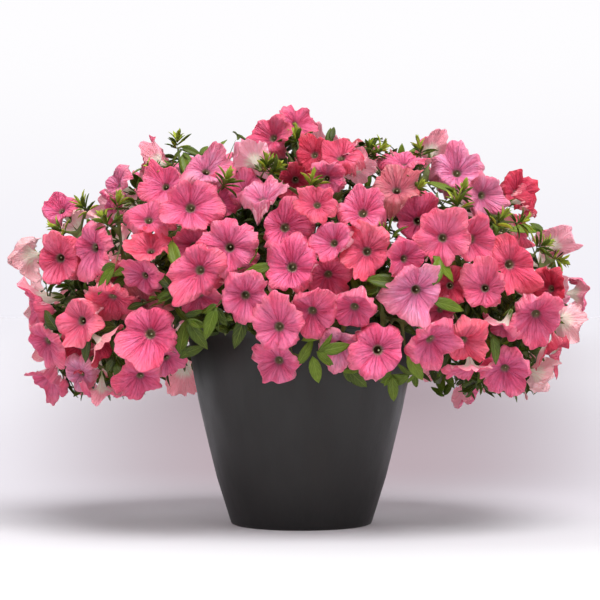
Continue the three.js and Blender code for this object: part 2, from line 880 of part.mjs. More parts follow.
function growTuft(stems, place, lean) {
  for (let i = 0; i < 8; i += 1) {
    const spot = place.clone().addScaledVector(moundNormal(place), -2.5 * i);
    const blade = bladeAt(spot, lean + (i % 2 === 0 ? 9 * i : -9 * i), 12, 7, 0.3);
    const along = blade.along.clone().addScaledVector(blade.normal, 0.5).normalize();
    const normal = blade.normal.clone().addScaledVector(along, -blade.normal.dot(along)).normalize();
    const tuft = { foot: blade.base, along, normal, length: TUFT_LENGTH };
    if (isClear(tuftSolid(tuft, GAP))) {
      const root = reachTo(stems, tuft.foot, along, [], TUFT_STALK);
      if (root) {
        take(root.owner, tuftSolid(tuft));
        stems[root.owner].pieces.push(tuftSolid(tuft, 0, root.point));
        return;
      }
    }
  }
}

// An even spiral over the mound, for what the photograph does not show piece by piece
function spiralPlaces(count, inset) {
  const places = [];
  for (let i = 0; i < count; i += 1) {
    const height = 1 - (2 * (i + 0.5)) / count;
    const around = i * Math.PI * (3 - Math.sqrt(5)) + 1;
    const ring = Math.sqrt(1 - height * height);
    const way = new THREE.Vector3(ring * Math.cos(around), ring * Math.sin(around), height);
    const place = new THREE.Vector3(0, 0, MOUND_MIDDLE);
    let reach = 100;
    while (moundLevel(place.clone().addScaledVector(way, reach)) < 1) {
      reach += 2;
    }
    place.addScaledVector(way, reach - inset);
    const nearPot = place.z < POT_HEIGHT + 30 && Math.hypot(place.x, place.y) < RIM_RADIUS + 42;
    if (!nearPot && place.z > 165) {
      places.push(underSkyline(place, SKYLINE_DEPTH + 4));
    }
  }
  return places;
}

function growGreens(stems, flowers) {
  FRONT_TUFTS.forEach(([x, z, lean]) => {
    growTuft(stems, placeOnMound(x, z, 0), lean);
  });
  FRONT_LEAVES.forEach(([x, z, length, lean]) => {
    growLeaf(stems, placeOnMound(x, z, 6), lean, length);
  });
  spiralPlaces(TUFT_PLACES, 0).forEach((place) => {
    const lean = draw(-40, 40);
    if (place.y > -30) {
      growTuft(stems, place, lean);
    }
  });
  spiralPlaces(LEAF_PLACES, 16).forEach((place) => {
    const lean = draw(-180, 180);
    const length = draw(34, 42);
    const open = flowers.every((flower) => flower.centre.distanceTo(place) > 20);
    if (open) {
      growLeaf(stems, place, lean, length);
    }
  });
}

// The wall's outer radius at a height, between the points of its profile
function wallRadius(z) {
  for (let i = 1; i < POT_WALL.length; i += 1) {
    const [lowRadius, low] = POT_WALL[i - 1];
    const [highRadius, high] = POT_WALL[i];
    if (z <= high) {
      return lowRadius + ((highRadius - lowRadius) * (z - low)) / (high - low);
    }
  }
  return POT_WALL[POT_WALL.length - 1][0];
}

function turnedSolid(profile) {
  const points = profile.map(([radius, z]) => new THREE.Vector2(radius, z));
  const turned = new THREE.LatheGeometry(points, POT_SIDES);
  turned.rotateX(Math.PI / 2);
  const solid = solidOf(turned);
  return solid.volume() > 0 ? solid : solidOf(turned.scale(1, -1, 1));
}

// Pot: one turned wall with a flat floor, holes to drain it and a rim band that stands proud
function potSolid() {
  const bandFoot = POT_HEIGHT - RIM_BAND_HEIGHT;
  const outside = [
    [0, 0],
    [wallRadius(0) - BASE_EDGE, 0],
    [wallRadius(BASE_EDGE), BASE_EDGE],
    ...POT_WALL.slice(1, -1),
    [wallRadius(bandFoot), bandFoot],
    [RIM_RADIUS, bandFoot],
    [RIM_RADIUS, POT_HEIGHT - RIM_EDGE],
    [RIM_RADIUS - RIM_EDGE, POT_HEIGHT],
    [wallRadius(POT_HEIGHT) - WALL, POT_HEIGHT],
  ];
  const inside = POT_WALL.slice(1, -1).reverse().map(([radius, z]) => [radius - WALL, z]);
  inside.push([wallRadius(FLOOR_THICKNESS) - WALL, FLOOR_THICKNESS]);
  inside.push([0, FLOOR_THICKNESS]);
  let pot = turnedSolid(outside.concat(inside));
  for (let i = 0; i < 4; i += 1) {
    const around = ((i + 0.5) / 4) * 2 * Math.PI;
    const drain = new THREE.CylinderGeometry(DRAIN_RADIUS, DRAIN_RADIUS, 3 * FLOOR_THICKNESS, 8);
    drain.rotateX(Math.PI / 2);
    drain.translate(DRAIN_CIRCLE * Math.cos(around), DRAIN_CIRCLE * Math.sin(around), 0);
    pot = pot.subtract(solidOf(drain));
  }
  return pot;
}

// Soil: fills the pot up to a low crown and has a plain hole for each stem
function soilSolid(stems) {
  const edge = SOIL_TOP - 3;
  const fill = (z) => wallRadius(z) - WALL - GAP;
  const floor = FLOOR_THICKNESS + GAP;
  const profile = [
    [0, floor],
    [fill(floor), floor],
    ...POT_WALL.slice(1, -1).map(([, z]) => [fill(z), z]),
    [fill(edge), edge],
    [fill(edge) - 14, SOIL_TOP],
    [0, SOIL_TOP + SOIL_CROWN],
  ];
  let soil = turnedSolid(profile);
  const holeRadius = (STEM_RADIUS + GAP) / Math.cos(Math.PI / STEM_SIDES);
  stems.forEach((stem) => {
    const deep = HOLE_DEPTH + 20;
    const hole = new THREE.CylinderGeometry(holeRadius, holeRadius, deep, 5);
    hole.rotateX(Math.PI / 2);
    hole.translate(stem.root.x, stem.root.y, SOIL_TOP - HOLE_DEPTH + deep / 2);
    soil = soil.subtract(solidOf(hole));
  });
  return soil;
}

function meshOf(name, solid, finish) {
  const mesh = new THREE.Mesh(geometryOf(solid), new THREE.MeshStandardMaterial(finish));
  mesh.name = name;
  return mesh;
}

const pot = potSolid();
take(-1, pot);
const stems = placeStems();
const soil = soilSolid(stems);
const flowers = joinFlowers(stems, settleFlowers(placeFlowers()));
growGreens(stems, flowers);

const group = new THREE.Group();
group.add(meshOf("pot", pot, POT_FINISH));
group.add(meshOf("soil", soil, SOIL_FINISH));
stems.forEach((stem, index) => {
  const name = `flowering_stem_${String(index + 1).padStart(2, "0")}`;
  stem.solid = joined(stem.pieces);
  group.add(meshOf(name, largestBody(stem.solid).simplify(SIMPLEST), PETAL));
});
export default group;
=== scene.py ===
# %% [markdown]
# # A potted spreading petunia
# The plant is a mound of pink trumpets over a dark tapered pot. The CAD model is the
# frame: it says where each bloom, leaf, tuft and stem is, in metres, and this script
# dresses it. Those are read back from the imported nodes. The pot and the soil follow the
# frame's measures, and the loose leaves are drawn with a seed inside the mound.

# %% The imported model
import math
import random

import bmesh
import bpy
import numpy as np
from mathutils import Matrix, Quaternion, Vector
from mathutils.kdtree import KDTree


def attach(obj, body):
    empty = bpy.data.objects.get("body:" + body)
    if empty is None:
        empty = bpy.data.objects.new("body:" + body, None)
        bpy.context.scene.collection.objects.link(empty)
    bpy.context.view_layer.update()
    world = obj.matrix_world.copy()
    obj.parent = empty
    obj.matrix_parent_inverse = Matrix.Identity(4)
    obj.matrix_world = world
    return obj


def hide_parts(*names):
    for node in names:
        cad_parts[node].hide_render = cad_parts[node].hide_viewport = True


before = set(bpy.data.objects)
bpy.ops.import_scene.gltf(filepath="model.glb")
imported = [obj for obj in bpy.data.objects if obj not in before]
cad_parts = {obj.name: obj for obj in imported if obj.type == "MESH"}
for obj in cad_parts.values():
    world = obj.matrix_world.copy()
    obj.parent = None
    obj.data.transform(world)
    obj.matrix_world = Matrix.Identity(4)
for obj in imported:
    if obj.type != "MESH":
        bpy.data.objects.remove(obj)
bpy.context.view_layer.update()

stem_names = sorted(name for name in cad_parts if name.startswith("flowering_stem"))

# %% [markdown]
# ## The eye
# The photograph is taken level, a little above the pot's rim and well back. One pixel is
# 1.2 mm at the pot's axis, and that fixes the lens. The camera comes first, because
# every later piece is judged through it.

# %% The camera
EYE = Vector((-0.0017, -2.505, 0.268))
SEEN_WIDTH = 0.72

eye = bpy.data.cameras.new("eye")
eye.sensor_width = 36
eye.lens = 36 * -EYE.y / SEEN_WIDTH
camera = bpy.data.objects.new("eye", eye)
camera.location = EYE
camera.rotation_euler = (math.pi / 2, 0, 0)
bpy.context.scene.collection.objects.link(camera)
bpy.context.scene.camera = camera
bpy.context.scene.view_settings.view_transform = "Standard"
print("lens", round(eye.lens, 2), "mm")

# %% [markdown]
# ## Small helpers
# A piece is a mesh whose object stays at the origin. Each one rides on the pot and stands for the CAD nodes
# it replaces.

# %% Making a piece


def show(mesh, materials=()):
    for material in materials:
        mesh.materials.append(material)
    piece = bpy.data.objects.new(mesh.name, mesh)
    bpy.context.scene.collection.objects.link(piece)
    return piece


def mesh_from(bm, name, smooth=True):
    mesh = bpy.data.meshes.new(name)
    bm.to_mesh(mesh)
    bm.free()
    for face in mesh.polygons:
        face.use_smooth = smooth
    return mesh


def face_out(bm):
    bmesh.ops.recalc_face_normals(bm, faces=bm.faces)


def stand_for(piece, slot, *nodes):
    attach(piece, "root")
    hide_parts(*nodes)
    return piece


def triangles_of(mesh):
    return sum(len(face.vertices) - 2 for face in mesh.polygons)


print("helpers ready")

# %% [markdown]
# ## Colours and shader helpers
# Colours are written as they look on a screen and turned into the shader's linear
# values once. Short helpers place and join nodes in the open recipe, always `tree`.

# %% Node helpers


def tint(red, green, blue):
    def linear(part):
        part /= 255
        return part / 12.92 if part <= 0.04045 else ((part + 0.055) / 1.055) ** 2.4
    return (linear(red), linear(green), linear(blue), 1.0)


def new_material(name):
    material = bpy.data.materials.new(name)
    material.use_nodes = True
    tree = material.node_tree
    return material, tree, tree.nodes["Principled BSDF"]


def node(kind, **settings):
    made = tree.nodes.new(kind)
    for key, value in settings.items():
        setattr(made, key, value)
    return made


def join(value, socket):
    if isinstance(value, bpy.types.NodeSocket):
        tree.links.new(value, socket)
    else:
        socket.default_value = value


def give(made, looks):
    for name, value in looks.items():
        join(value, made.inputs[name])


def math_of(operation, a, b=0.0, c=0.0):
    made = node("ShaderNodeMath", operation=operation)
    for socket, value in zip(made.inputs, (a, b, c)):
        join(value, socket)
    return made.outputs[0]


def times(a, b):
    return math_of("MULTIPLY", a, b)


def between(value, low, high, to_low=0.0, to_high=1.0):
    made = node("ShaderNodeMapRange", interpolation_type="SMOOTHSTEP")
    give(made, {"Value": value, "From Min": low, "From Max": high, "To Min": to_low, "To Max": to_high})
    return made.outputs["Result"]


def mixed(share, first, second, way="MIX"):
    made = node("ShaderNodeMix", data_type="RGBA", blend_type=way)
    join(share, made.inputs[0])
    join(first, made.inputs[6])
    join(second, made.inputs[7])
    return made.outputs[2]


def noise_of(vector, scale, detail=3.0):
    made = node("ShaderNodeTexNoise")
    give(made, {"Vector": vector, "Scale": scale, "Detail": detail, "Roughness": 0.55})
    return made.outputs[0]


def bump_of(height, depth, strength=1.0):
    made = node("ShaderNodeBump")
    give(made, {"Height": height, "Distance": depth, "Strength": strength})
    return made.outputs["Normal"]


def place_of(scale=(1, 1, 1)):
    made = node("ShaderNodeMapping")
    give(made, {"Scale": scale, "Vector": node("ShaderNodeTexCoord").outputs["Object"]})
    return made.outputs["Vector"]


def split(vector):
    parts = node("ShaderNodeSeparateXYZ")
    join(vector, parts.inputs[0])
    return parts.outputs


def form_of():
    parts = split(node("ShaderNodeUVMap", uv_map="form").outputs["UV"])
    return parts["X"], parts["Y"]


print("a full pink as the shader takes it:", [round(part, 3) for part in tint(245, 100, 140)[:3]])

# %% [markdown]
# ## A group that both petals and leaves use
# Living tissue is never one flat colour: it is mottled, in patches a few millimetres
# wide. The group gives that mottling as one value, built once and set per material.

# %% The mottle group
tree = mottle = bpy.data.node_groups.new("mottle", "ShaderNodeTree")
mottle.interface.new_socket("Patches", in_out="INPUT", socket_type="NodeSocketFloat").default_value = 90
mottle.interface.new_socket("Depth", in_out="INPUT", socket_type="NodeSocketFloat").default_value = 0.2
mottle.interface.new_socket("Shade", in_out="OUTPUT", socket_type="NodeSocketFloat")
group_in = node("NodeGroupInput")
group_out = node("NodeGroupOutput")
patches = noise_of(place_of(), group_in.outputs["Patches"])
spread = math_of("SUBTRACT", patches, 0.5)
shade = math_of("MULTIPLY_ADD", spread, group_in.outputs["Depth"], 1.0)
join(shade, group_out.inputs["Shade"])


def mottled(colour, patches, depth):
    made = node("ShaderNodeGroup", node_tree=mottle)
    give(made, {"Patches": patches, "Depth": depth})
    return mixed(1.0, colour, made.outputs["Shade"], "MULTIPLY")


print("group sockets:", [item.name for item in mottle.interface.items_tree])

# %% [markdown]
# ## The petal's finish
# A petunia's limb is a soft matte pink. Fine darker veins run from the throat to the edge, a whitish halo
# rings the throat, and the throat itself is dark olive, with painted shade deep inside it. The edge is
# paler, partly a painted highlight. The back is paler, and the tube behind it is cream with mauve lines; the
# back also glows faintly, painted light for the light that comes through the thin petal. The pattern follows
# the bloom, so it reads the bloom's own map: across is the angle round the throat, and up is the way from
# the throat (0) to the edge (1) and down the back to the tube's foot (2).

# %% The petal material
petal, tree, shader = new_material("petal")
turn, reach = form_of()
own = node("ShaderNodeAttribute", attribute_name="tone")
angle = times(turn, math.tau)


def around(count, along):
    ring = node("ShaderNodeCombineXYZ")
    join(times(math_of("COSINE", angle), count), ring.inputs[0])
    join(times(math_of("SINE", angle), count), ring.inputs[1])
    start = times(own.outputs["Alpha"], 40)
    join(math_of("MULTIPLY_ADD", reach, along, start), ring.inputs[2])
    return ring.outputs[0]


def vein_lines(count, wander, width):
    drift = noise_of(around(2.6, 2.4), 1.0, 3.0)
    place = math_of("MULTIPLY_ADD", turn, count, times(drift, wander))
    return between(math_of("PINGPONG", place, 0.5), 0.0, width, 1.0, 0.0)


fine = between(noise_of(around(9.0, 0.7), 1.0, 2.0), 0.46, 0.70)
broad = between(noise_of(around(1.7, 1.1), 1.0, 2.0), 0.38, 0.64)
lobe = math_of("PINGPONG", times(turn, 5), 0.5)
midrib = between(lobe, 0.0, 0.030, 1.0, 0.0)
seam = between(lobe, 0.46, 0.5)
front = between(reach, 0.99, 1.01, 1.0, 0.0)
back = math_of("SUBTRACT", 1.0, front)
long_veins = times(vein_lines(25, 2.2, 0.09), between(reach, 0.20, 0.90, 0.90, 0.16))
short_veins = times(vein_lines(60, 3.4, 0.20), between(reach, 0.35, 0.75, 0.0, 0.22))
rib_share = times(math_of("MAXIMUM", midrib, seam), between(reach, 0.25, 0.90, 0.62, 0.16))
dark_share = math_of("MAXIMUM", math_of("MAXIMUM", long_veins, short_veins), rib_share)

# Stains that darken the bloom's own tone: broad and fine patches, the ring round the
# throat, the veins, and the warmer rim
limb = own.outputs["Color"]
for share, stain in (
        (times(broad, 0.60), (0.92, 0.42, 0.56, 1)),
        (times(fine, 0.45), (0.92, 0.54, 0.62, 1)),
        (between(reach, 0.15, 0.62, 0.44, 0.0), (0.80, 0.42, 0.64, 1)),
        (times(dark_share, 0.29), (0.72, 0.24, 0.42, 1)),
        (between(reach, 0.50, 0.98, 0.0, 0.75), (1.0, 0.90, 0.76, 1))):
    limb = mixed(share, limb, stain, "MULTIPLY")

# Colours laid over it: the pale edge, partly a painted highlight; the halo; the throat; and painted shade
# deep in the throat, which differs from bloom to bloom
pale_edge_and_highlight = times(between(reach, 0.62, 1.0), math_of("SUBTRACT", 1.0, broad))
own_throat_shade = math_of("PINGPONG", times(own.outputs["Alpha"], 7), 1.0)
throat_shade = between(own_throat_shade, 0.35, 0.75, 0.25, 1.0)
for share, cover in (
        (times(pale_edge_and_highlight, 0.22), tint(255, 150, 166)),
        (times(between(reach, 0.12, 0.21, 1.0, 0.0), 0.72), tint(194, 138, 148)),
        (between(reach, 0.115, 0.15, 1.0, 0.0), tint(196, 176, 140)),
        (times(throat_shade, between(reach, 0.08, 0.13, 1.0, 0.0)), tint(100, 66, 50))):
    limb = mixed(share, limb, cover)

behind = mixed(0.55, own.outputs["Color"], tint(255, 188, 190))
marks = math_of("MAXIMUM", dark_share, fine)
behind = mixed(times(marks, 0.28), behind, tint(204, 104, 130))
tube = between(reach, 1.50, 1.78)
cream = mixed(times(fine, 0.5), tint(250, 232, 216), tint(186, 122, 146))
cream = mixed(between(reach, 1.86, 1.99), cream, tint(150, 164, 92))
behind = mixed(tube, behind, cream)
skin = mottled(mixed(back, limb, behind), 170, 0.5)
stamen = between(reach, 2.4, 2.5)
crepe = noise_of(around(7.0, 2.6), 1.0, 6.0)
relief = math_of("SUBTRACT", crepe, times(dark_share, 0.55))
give(shader, {
    "Base Color": mixed(stamen, skin, tint(232, 226, 190)),
    "Normal": bump_of(relief, 0.0068),
    # The back glows faintly in its own paler colour: painted light for the light that comes through the thin
    # petal
    "Emission Color": mixed(times(back, 0.22), (0, 0, 0, 1), behind),
    "Emission Strength": 1.0,
    "Roughness": 0.52,
    "Specular IOR Level": 0.10,
    "Subsurface Weight": 0.15,
    "Subsurface Radius": (1.0, 0.35, 0.45),
    "Subsurface Scale": 0.0025})
print("petal nodes:", len(tree.nodes))

# %% [markdown]
# ## The leaf's finish
# Petunia leaves are soft, dull and finely hairy. A paler midrib with side veins shows on
# the upper face, the edge is a little lighter, and each leaf has its own green: the
# young ones at the shoot tips are yellow green, the old ones inside are dark.

# %% The leaf material
leaf_green, tree, shader = new_material("leaf_green")
across, along = form_of()
own = node("ShaderNodeAttribute", attribute_name="tone")
from_rib = math_of("ABSOLUTE", math_of("SUBTRACT", across, 0.5))
rib = between(from_rib, 0.0, 0.05, 1.0, 0.0)
slant = math_of("SUBTRACT", along, times(from_rib, 0.7))
side_vein = between(math_of("PINGPONG", times(slant, 6.0), 0.5), 0.0, 0.10, 0.6, 0.0)
lines = math_of("MAXIMUM", rib, side_vein)
blade = mixed(between(along, 0.0, 1.0, 0.0, 0.12), own.outputs["Color"], tint(150, 170, 50))
blade = mixed(times(lines, 0.30), blade, tint(160, 180, 80))
hairs = noise_of(place_of(), 1800, 2.0)
swell = math_of("MULTIPLY_ADD", hairs, 0.18, times(lines, -0.6))
give(shader, {
    "Base Color": mottled(blade, 160, 0.7),
    "Normal": bump_of(swell, 0.0007, 0.8),
    "Roughness": 0.40,
    "Specular IOR Level": 0.24,
    "Subsurface Weight": 0.10,
    "Subsurface Radius": (0.5, 1.0, 0.2),
    "Subsurface Scale": 0.002})
print("leaf nodes:", len(tree.nodes))

# %% [markdown]
# ## The stalk's finish
# The shoots are green, paler than the leaves, and covered in short sticky hairs that
# catch the light as a soft bloom.

# %% The stalk material
stalk_green, tree, shader = new_material("stalk_green")
stalk = mixed(noise_of(place_of(), 70), tint(74, 88, 32), tint(120, 128, 60))
give(shader, {
    "Base Color": mottled(stalk, 260, 0.5),
    "Normal": bump_of(noise_of(place_of(), 1400), 0.0005),
    "Roughness": 0.6,
    "Sheen Weight": 0.12})
print("stalk nodes:", len(tree.nodes))

# %% [markdown]
# ## Reading the frame
# Each stem's node is one body: stem, shoots, leaves, tufts and its own blooms. In that
# mesh a bloom's throat is a point with a regular ring of five round it, a tuft's heart
# is a point with three long tips, and a leaf's blade is two points 1.6 mm apart over one
# shared outline. Those points give every place and direction, with no list to keep in
# step.

# %% Finding blooms, leaves and tufts
# Proportions of the frame's own shapes: a throat's depth and ring as shares of the
# bloom's radius, and a blade's wall in metres with its tip, droop, middle and rise as
# shares of its length
THROAT_DEPTH, THROAT_RING, FACE_RISE = 0.42, 0.25, 0.2
BLADE_WALL, BLADE_TIP, BLADE_DROOP, BLADE_MIDDLE, BLADE_RISE = 0.0016, 0.5948, 0.1318, 0.42, 0.0282


def next_to(vert):
    return [edge.other_vert(vert) for edge in vert.link_edges]


def middle_of(verts):
    return sum((vert.co for vert in verts), Vector()) / len(verts)


def bloom_at(vert):
    ring = next_to(vert)
    if len(ring) != 5:
        return None
    middle = middle_of(ring)
    axis = middle - vert.co
    depth = axis.length
    if depth < 1e-4:
        return None
    widths = [(other.co - middle).length for other in ring]
    width = sum(widths) / 5
    square = all(abs((other.co - middle).dot(axis)) < 0.04 * width * depth for other in ring)
    even = max(widths) - min(widths) <= 0.03 * width
    if not square or not even or abs(width / depth - THROAT_RING / THROAT_DEPTH) > 0.02:
        return None
    radius = depth / THROAT_DEPTH
    face = axis.normalized()
    lobe = min((other.co - middle for other in ring), key=lambda way: way.angle(Vector((0.3, 0.1, 1))))
    return {"centre": middle + face * FACE_RISE * radius, "face": face, "lobe": lobe.normalized(),
            "radius": radius, "throat": vert}


def tuft_at(vert):
    ring = next_to(vert)
    if len(ring) != 6:
        return None
    tips = [other for other in ring if len(other.link_edges) == 3 and (other.co - vert.co).length > 0.012]
    if len(tips) != 3:
        return None
    base = middle_of([other for other in ring if other not in tips])
    return {"base": base, "way": (vert.co - base).normalized(), "verts": [vert] + tips}


def leaf_at(vert):
    ring = set(next_to(vert))
    for other in {far for near in ring for far in next_to(near)} - ring - {vert}:
        shared = ring & set(next_to(other))
        if abs((other.co - vert.co).length - BLADE_WALL) > 8e-5 or len(shared) < 5:
            continue
        middle = (vert.co + other.co) / 2
        tip = max(shared, key=lambda point: (point.co - middle).length)
        normal = (vert.co - other.co).normalized()
        if sum((point.co - middle).dot(normal) for point in shared if point is not tip) < 0:
            normal.negate()
        length = (tip.co - middle).length / BLADE_TIP
        along = (tip.co - middle + normal * BLADE_DROOP * length).normalized()
        base = middle - along * BLADE_MIDDLE * length + normal * BLADE_RISE * length
        return {"base": base, "along": along, "normal": normal, "length": length,
                "verts": [vert, other, *shared]}
    return None


def parts_of(name):
    bm = bmesh.new()
    bm.from_mesh(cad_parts[name].data)
    bmesh.ops.remove_doubles(bm, verts=bm.verts, dist=2e-6)
    blooms = [bloom for bloom in map(bloom_at, bm.verts) if bloom]
    tufts = [tuft for tuft in map(tuft_at, bm.verts) if tuft]
    leaves, used = [], set()
    for vert in bm.verts:
        leaf = leaf_at(vert) if vert not in used else None
        if leaf:
            leaves.append(leaf)
            used.update(leaf["verts"])
    return {"bm": bm, "blooms": blooms, "tufts": tufts, "leaves": leaves}


stems = {name: parts_of(name) for name in stem_names}
for kind in ("blooms", "leaves", "tufts"):
    print(kind, "in the frame:", sum(len(stem[kind]) for stem in stems.values()))

# %% [markdown]
# ## What is left of a node is its wood
# With the blooms, blades and tuft tips taken off, the rest of the mesh is the stem with
# its shoots and stalks. Their ends are closed again, and a subdivision surface rounds
# the three- and four-sided bars of the CAD into living stalks.

# %% The stalks
SHORTEST_RUN = 0.007
# How far a bloom's own points lie behind its face and round its axis, in radii
BLOOM_BACK, BLOOM_WIDE = 0.7, 1.12


def bloom_verts(bloom):
    centre, face, radius = bloom["centre"], bloom["face"], bloom["radius"]
    found, edge = {bloom["throat"]}, [bloom["throat"]]
    while edge:
        for other in next_to(edge.pop()):
            way = other.co - centre
            height = way.dot(face)
            near = height > -BLOOM_BACK * radius and (way - face * height).length < BLOOM_WIDE * radius
            if other not in found and near:
                found.add(other)
                edge.append(other)
    return found


def stalk_mesh(name, stem):
    bm = stem["bm"]
    gone = set()
    for bloom in stem["blooms"]:
        gone |= bloom_verts(bloom)
        del bloom["throat"]
    for other in stem["leaves"] + stem["tufts"]:
        gone.update(other.pop("verts"))
    bmesh.ops.delete(bm, geom=list(gone), context="VERTS")
    bmesh.ops.delete(bm, geom=[vert for vert in bm.verts if not vert.link_faces], context="VERTS")
    bmesh.ops.holes_fill(bm, edges=[edge for edge in bm.edges if edge.is_boundary], sides=0)
    stem["runs"] = [tuple(vert.co.copy() for vert in edge.verts) for edge in bm.edges
                    if edge.calc_length() > SHORTEST_RUN]
    face_out(bm)
    return mesh_from(bm, "stalks" + name[-3:])


for name, stem in stems.items():
    piece = show(stalk_mesh(name, stem), [stalk_green])
    rounding = piece.modifiers.new("rounding", "SUBSURF")
    rounding.levels = rounding.render_levels = 1
    stand_for(piece, "leaves", name)
print("straight runs of stalk:", sum(len(stem["runs"]) for stem in stems.values()))

# %% [markdown]
# ## The mound
# The blooms lie on one rounded mound. Its level is 1 at the surface and 0 in the
# middle, and it tells the loose leaves how deep they are and which way is out.

# %% The mound's level
MOUND = {"middle": 0.255, "width": 0.326, "depth": 0.252, "rise": 0.224, "front": 0.125, "side": 0.205}
SQUARENESS = 2.25


def mound_level(point):
    side, depth = abs(point.x) / MOUND["width"], abs(point.y) / MOUND["depth"]
    plan = (side ** SQUARENESS + depth ** SQUARENESS) ** (2 / SQUARENESS)
    to_side = side * side / max(side * side + depth * depth, 1e-9)
    up = point.z - MOUND["middle"]
    skirt = MOUND["front"] + (MOUND["side"] - MOUND["front"]) * to_side
    rise = up / (MOUND["rise"] if up > 0 else skirt)
    return plan + rise * rise


def mound_way(point):
    step = 0.002
    slopes = [mound_level(point + Vector(axis) * step) - mound_level(point - Vector(axis) * step)
              for axis in ((1, 0, 0), (0, 1, 0), (0, 0, 1))]
    return Vector(slopes).normalized()


all_blooms = [bloom for stem in stems.values() for bloom in stem["blooms"]]
print("level of the outermost bloom:", round(max(mound_level(bloom["centre"]) for bloom in all_blooms), 2))

# %% [markdown]
# ## One bloom
# A trumpet is a turned form: its outline is spun round the axis, from the tube's foot
# up the outside to the edge, and back down the inside into the throat. The ring of
# points is then opened into five lobes. Spinning gives even rings, which is what the
# ruffles and the veins need.

# %% The trumpet's turned form
BLOOM_STEPS = 64
# [radius, height] as shares of the bloom's radius: up the outside, then down the inside
TRUMPET = [(0.0, -1.22), (0.055, -1.20), (0.078, -1.05), (0.088, -0.88), (0.11, -0.72), (0.145, -0.58),
           (0.19, -0.46), (0.27, -0.365), (0.40, -0.275), (0.56, -0.19), (0.72, -0.115), (0.86, -0.058),
           (0.95, -0.028), (1.0, -0.006), (0.975, 0.004), (0.92, -0.008), (0.85, -0.026), (0.77, -0.052),
           (0.68, -0.084), (0.58, -0.124), (0.48, -0.168), (0.38, -0.218), (0.285, -0.268), (0.20, -0.322),
           (0.142, -0.385), (0.112, -0.45), (0.088, -0.52), (0.05, -0.57), (0.0, -0.58)]
EDGE_AT = 13
STAMEN_COURSE = 2.6


def spin_outline(outline, courses, steps):
    bm = bmesh.new()
    course = bm.verts.layers.float.new("course")
    points = [bm.verts.new((radius, 0, height)) for radius, height in outline]
    for point, value in zip(points, courses):
        point[course] = value
    edges = [bm.edges.new(pair) for pair in zip(points, points[1:])]
    bmesh.ops.spin(bm, geom=points + edges, cent=(0, 0, 0), axis=(0, 0, 1), angle=math.tau,
                   steps=steps, use_merge=True)
    bmesh.ops.remove_doubles(bm, verts=bm.verts, dist=1e-5)
    return bm, course


def draw_form(bm, spot_of):
    form = bm.loops.layers.uv.new("form")
    for face in bm.faces:
        for loop in face.loops:
            loop[form].uv = spot_of(face, loop.vert)


def course_of(step):
    radius = TRUMPET[step][0]
    if step >= EDGE_AT:
        return radius
    return 1.0 + (1.0 - radius) if step > 3 else 1.92 + 0.08 * (3 - step) / 3


def spin_trumpet():
    bm, course = spin_outline(TRUMPET, map(course_of, range(len(TRUMPET))), BLOOM_STEPS)
    tip = bmesh.ops.create_icosphere(bm, subdivisions=1, radius=0.030,
                                     matrix=Matrix.Translation((0.015, -0.025, -0.40)))
    for vert in tip["verts"]:
        vert[course] = STAMEN_COURSE
    face_out(bm)

    def spot_of(face, vert):
        mid = face.calc_center_median()
        facing = math.atan2(mid.y, mid.x)
        turn = math.atan2(vert.co.y, vert.co.x) if vert.co.xy.length > 1e-6 else facing
        turn = facing + (turn - facing + math.pi) % math.tau - math.pi
        return turn / math.tau + (facing < 0), vert[course]

    draw_form(bm, spot_of)
    bm.verts.layers.float.remove(course)
    return mesh_from(bm, "trumpet")


trumpet = spin_trumpet()
print("trumpet:", len(trumpet.vertices), "points,", triangles_of(trumpet), "triangles")

# %% [markdown]
# ## Opening the trumpets
# No two blooms are alike: each has its own lift and curl for every lobe, its own
# ruffles along the edge and its own lean. These are waves round the throat, which grow
# from nothing there to their full height at the edge. The seed is fixed, so that the
# plant is the same in every run.

# %% Bloom shapes
luck = random.Random(1931)
draw = luck.uniform
rest = np.array([vert.co for vert in trumpet.vertices])
around_rest = np.arctan2(rest[:, 1], rest[:, 0])
wide = np.hypot(rest[:, 0], rest[:, 1])
high = rest[:, 2]
outward = np.clip((wide - 0.22) / 0.78, 0, 1)
LOBES = np.arange(5) * math.tau / 5
BEATS = 48


def per_lobe(values):
    away = np.abs((around_rest[:, None] - LOBES + math.pi) % math.tau - math.pi)
    share = 0.5 + 0.5 * np.cos(np.clip(away * 2.5, 0, math.pi))
    return share @ np.array(values)


def wave(count, size):
    return size * np.sin(count * around_rest + draw(0, math.tau))


def seam_dips(width):
    away = np.abs(((around_rest - math.pi / 5) * 5 + math.pi) % math.tau - math.pi) / 5
    return np.exp(-(away / math.radians(width)) ** 2)


def crinkle(size):
    beat = np.array([luck.gauss(0, 1) for _ in range(BEATS)])
    place = (around_rest % math.tau) / math.tau * BEATS
    first = place.astype(int) % BEATS
    part = place - np.floor(place)
    part = part * part * (3 - 2 * part)
    return size * (beat[first] * (1 - part) + beat[(first + 1) % BEATS] * part)


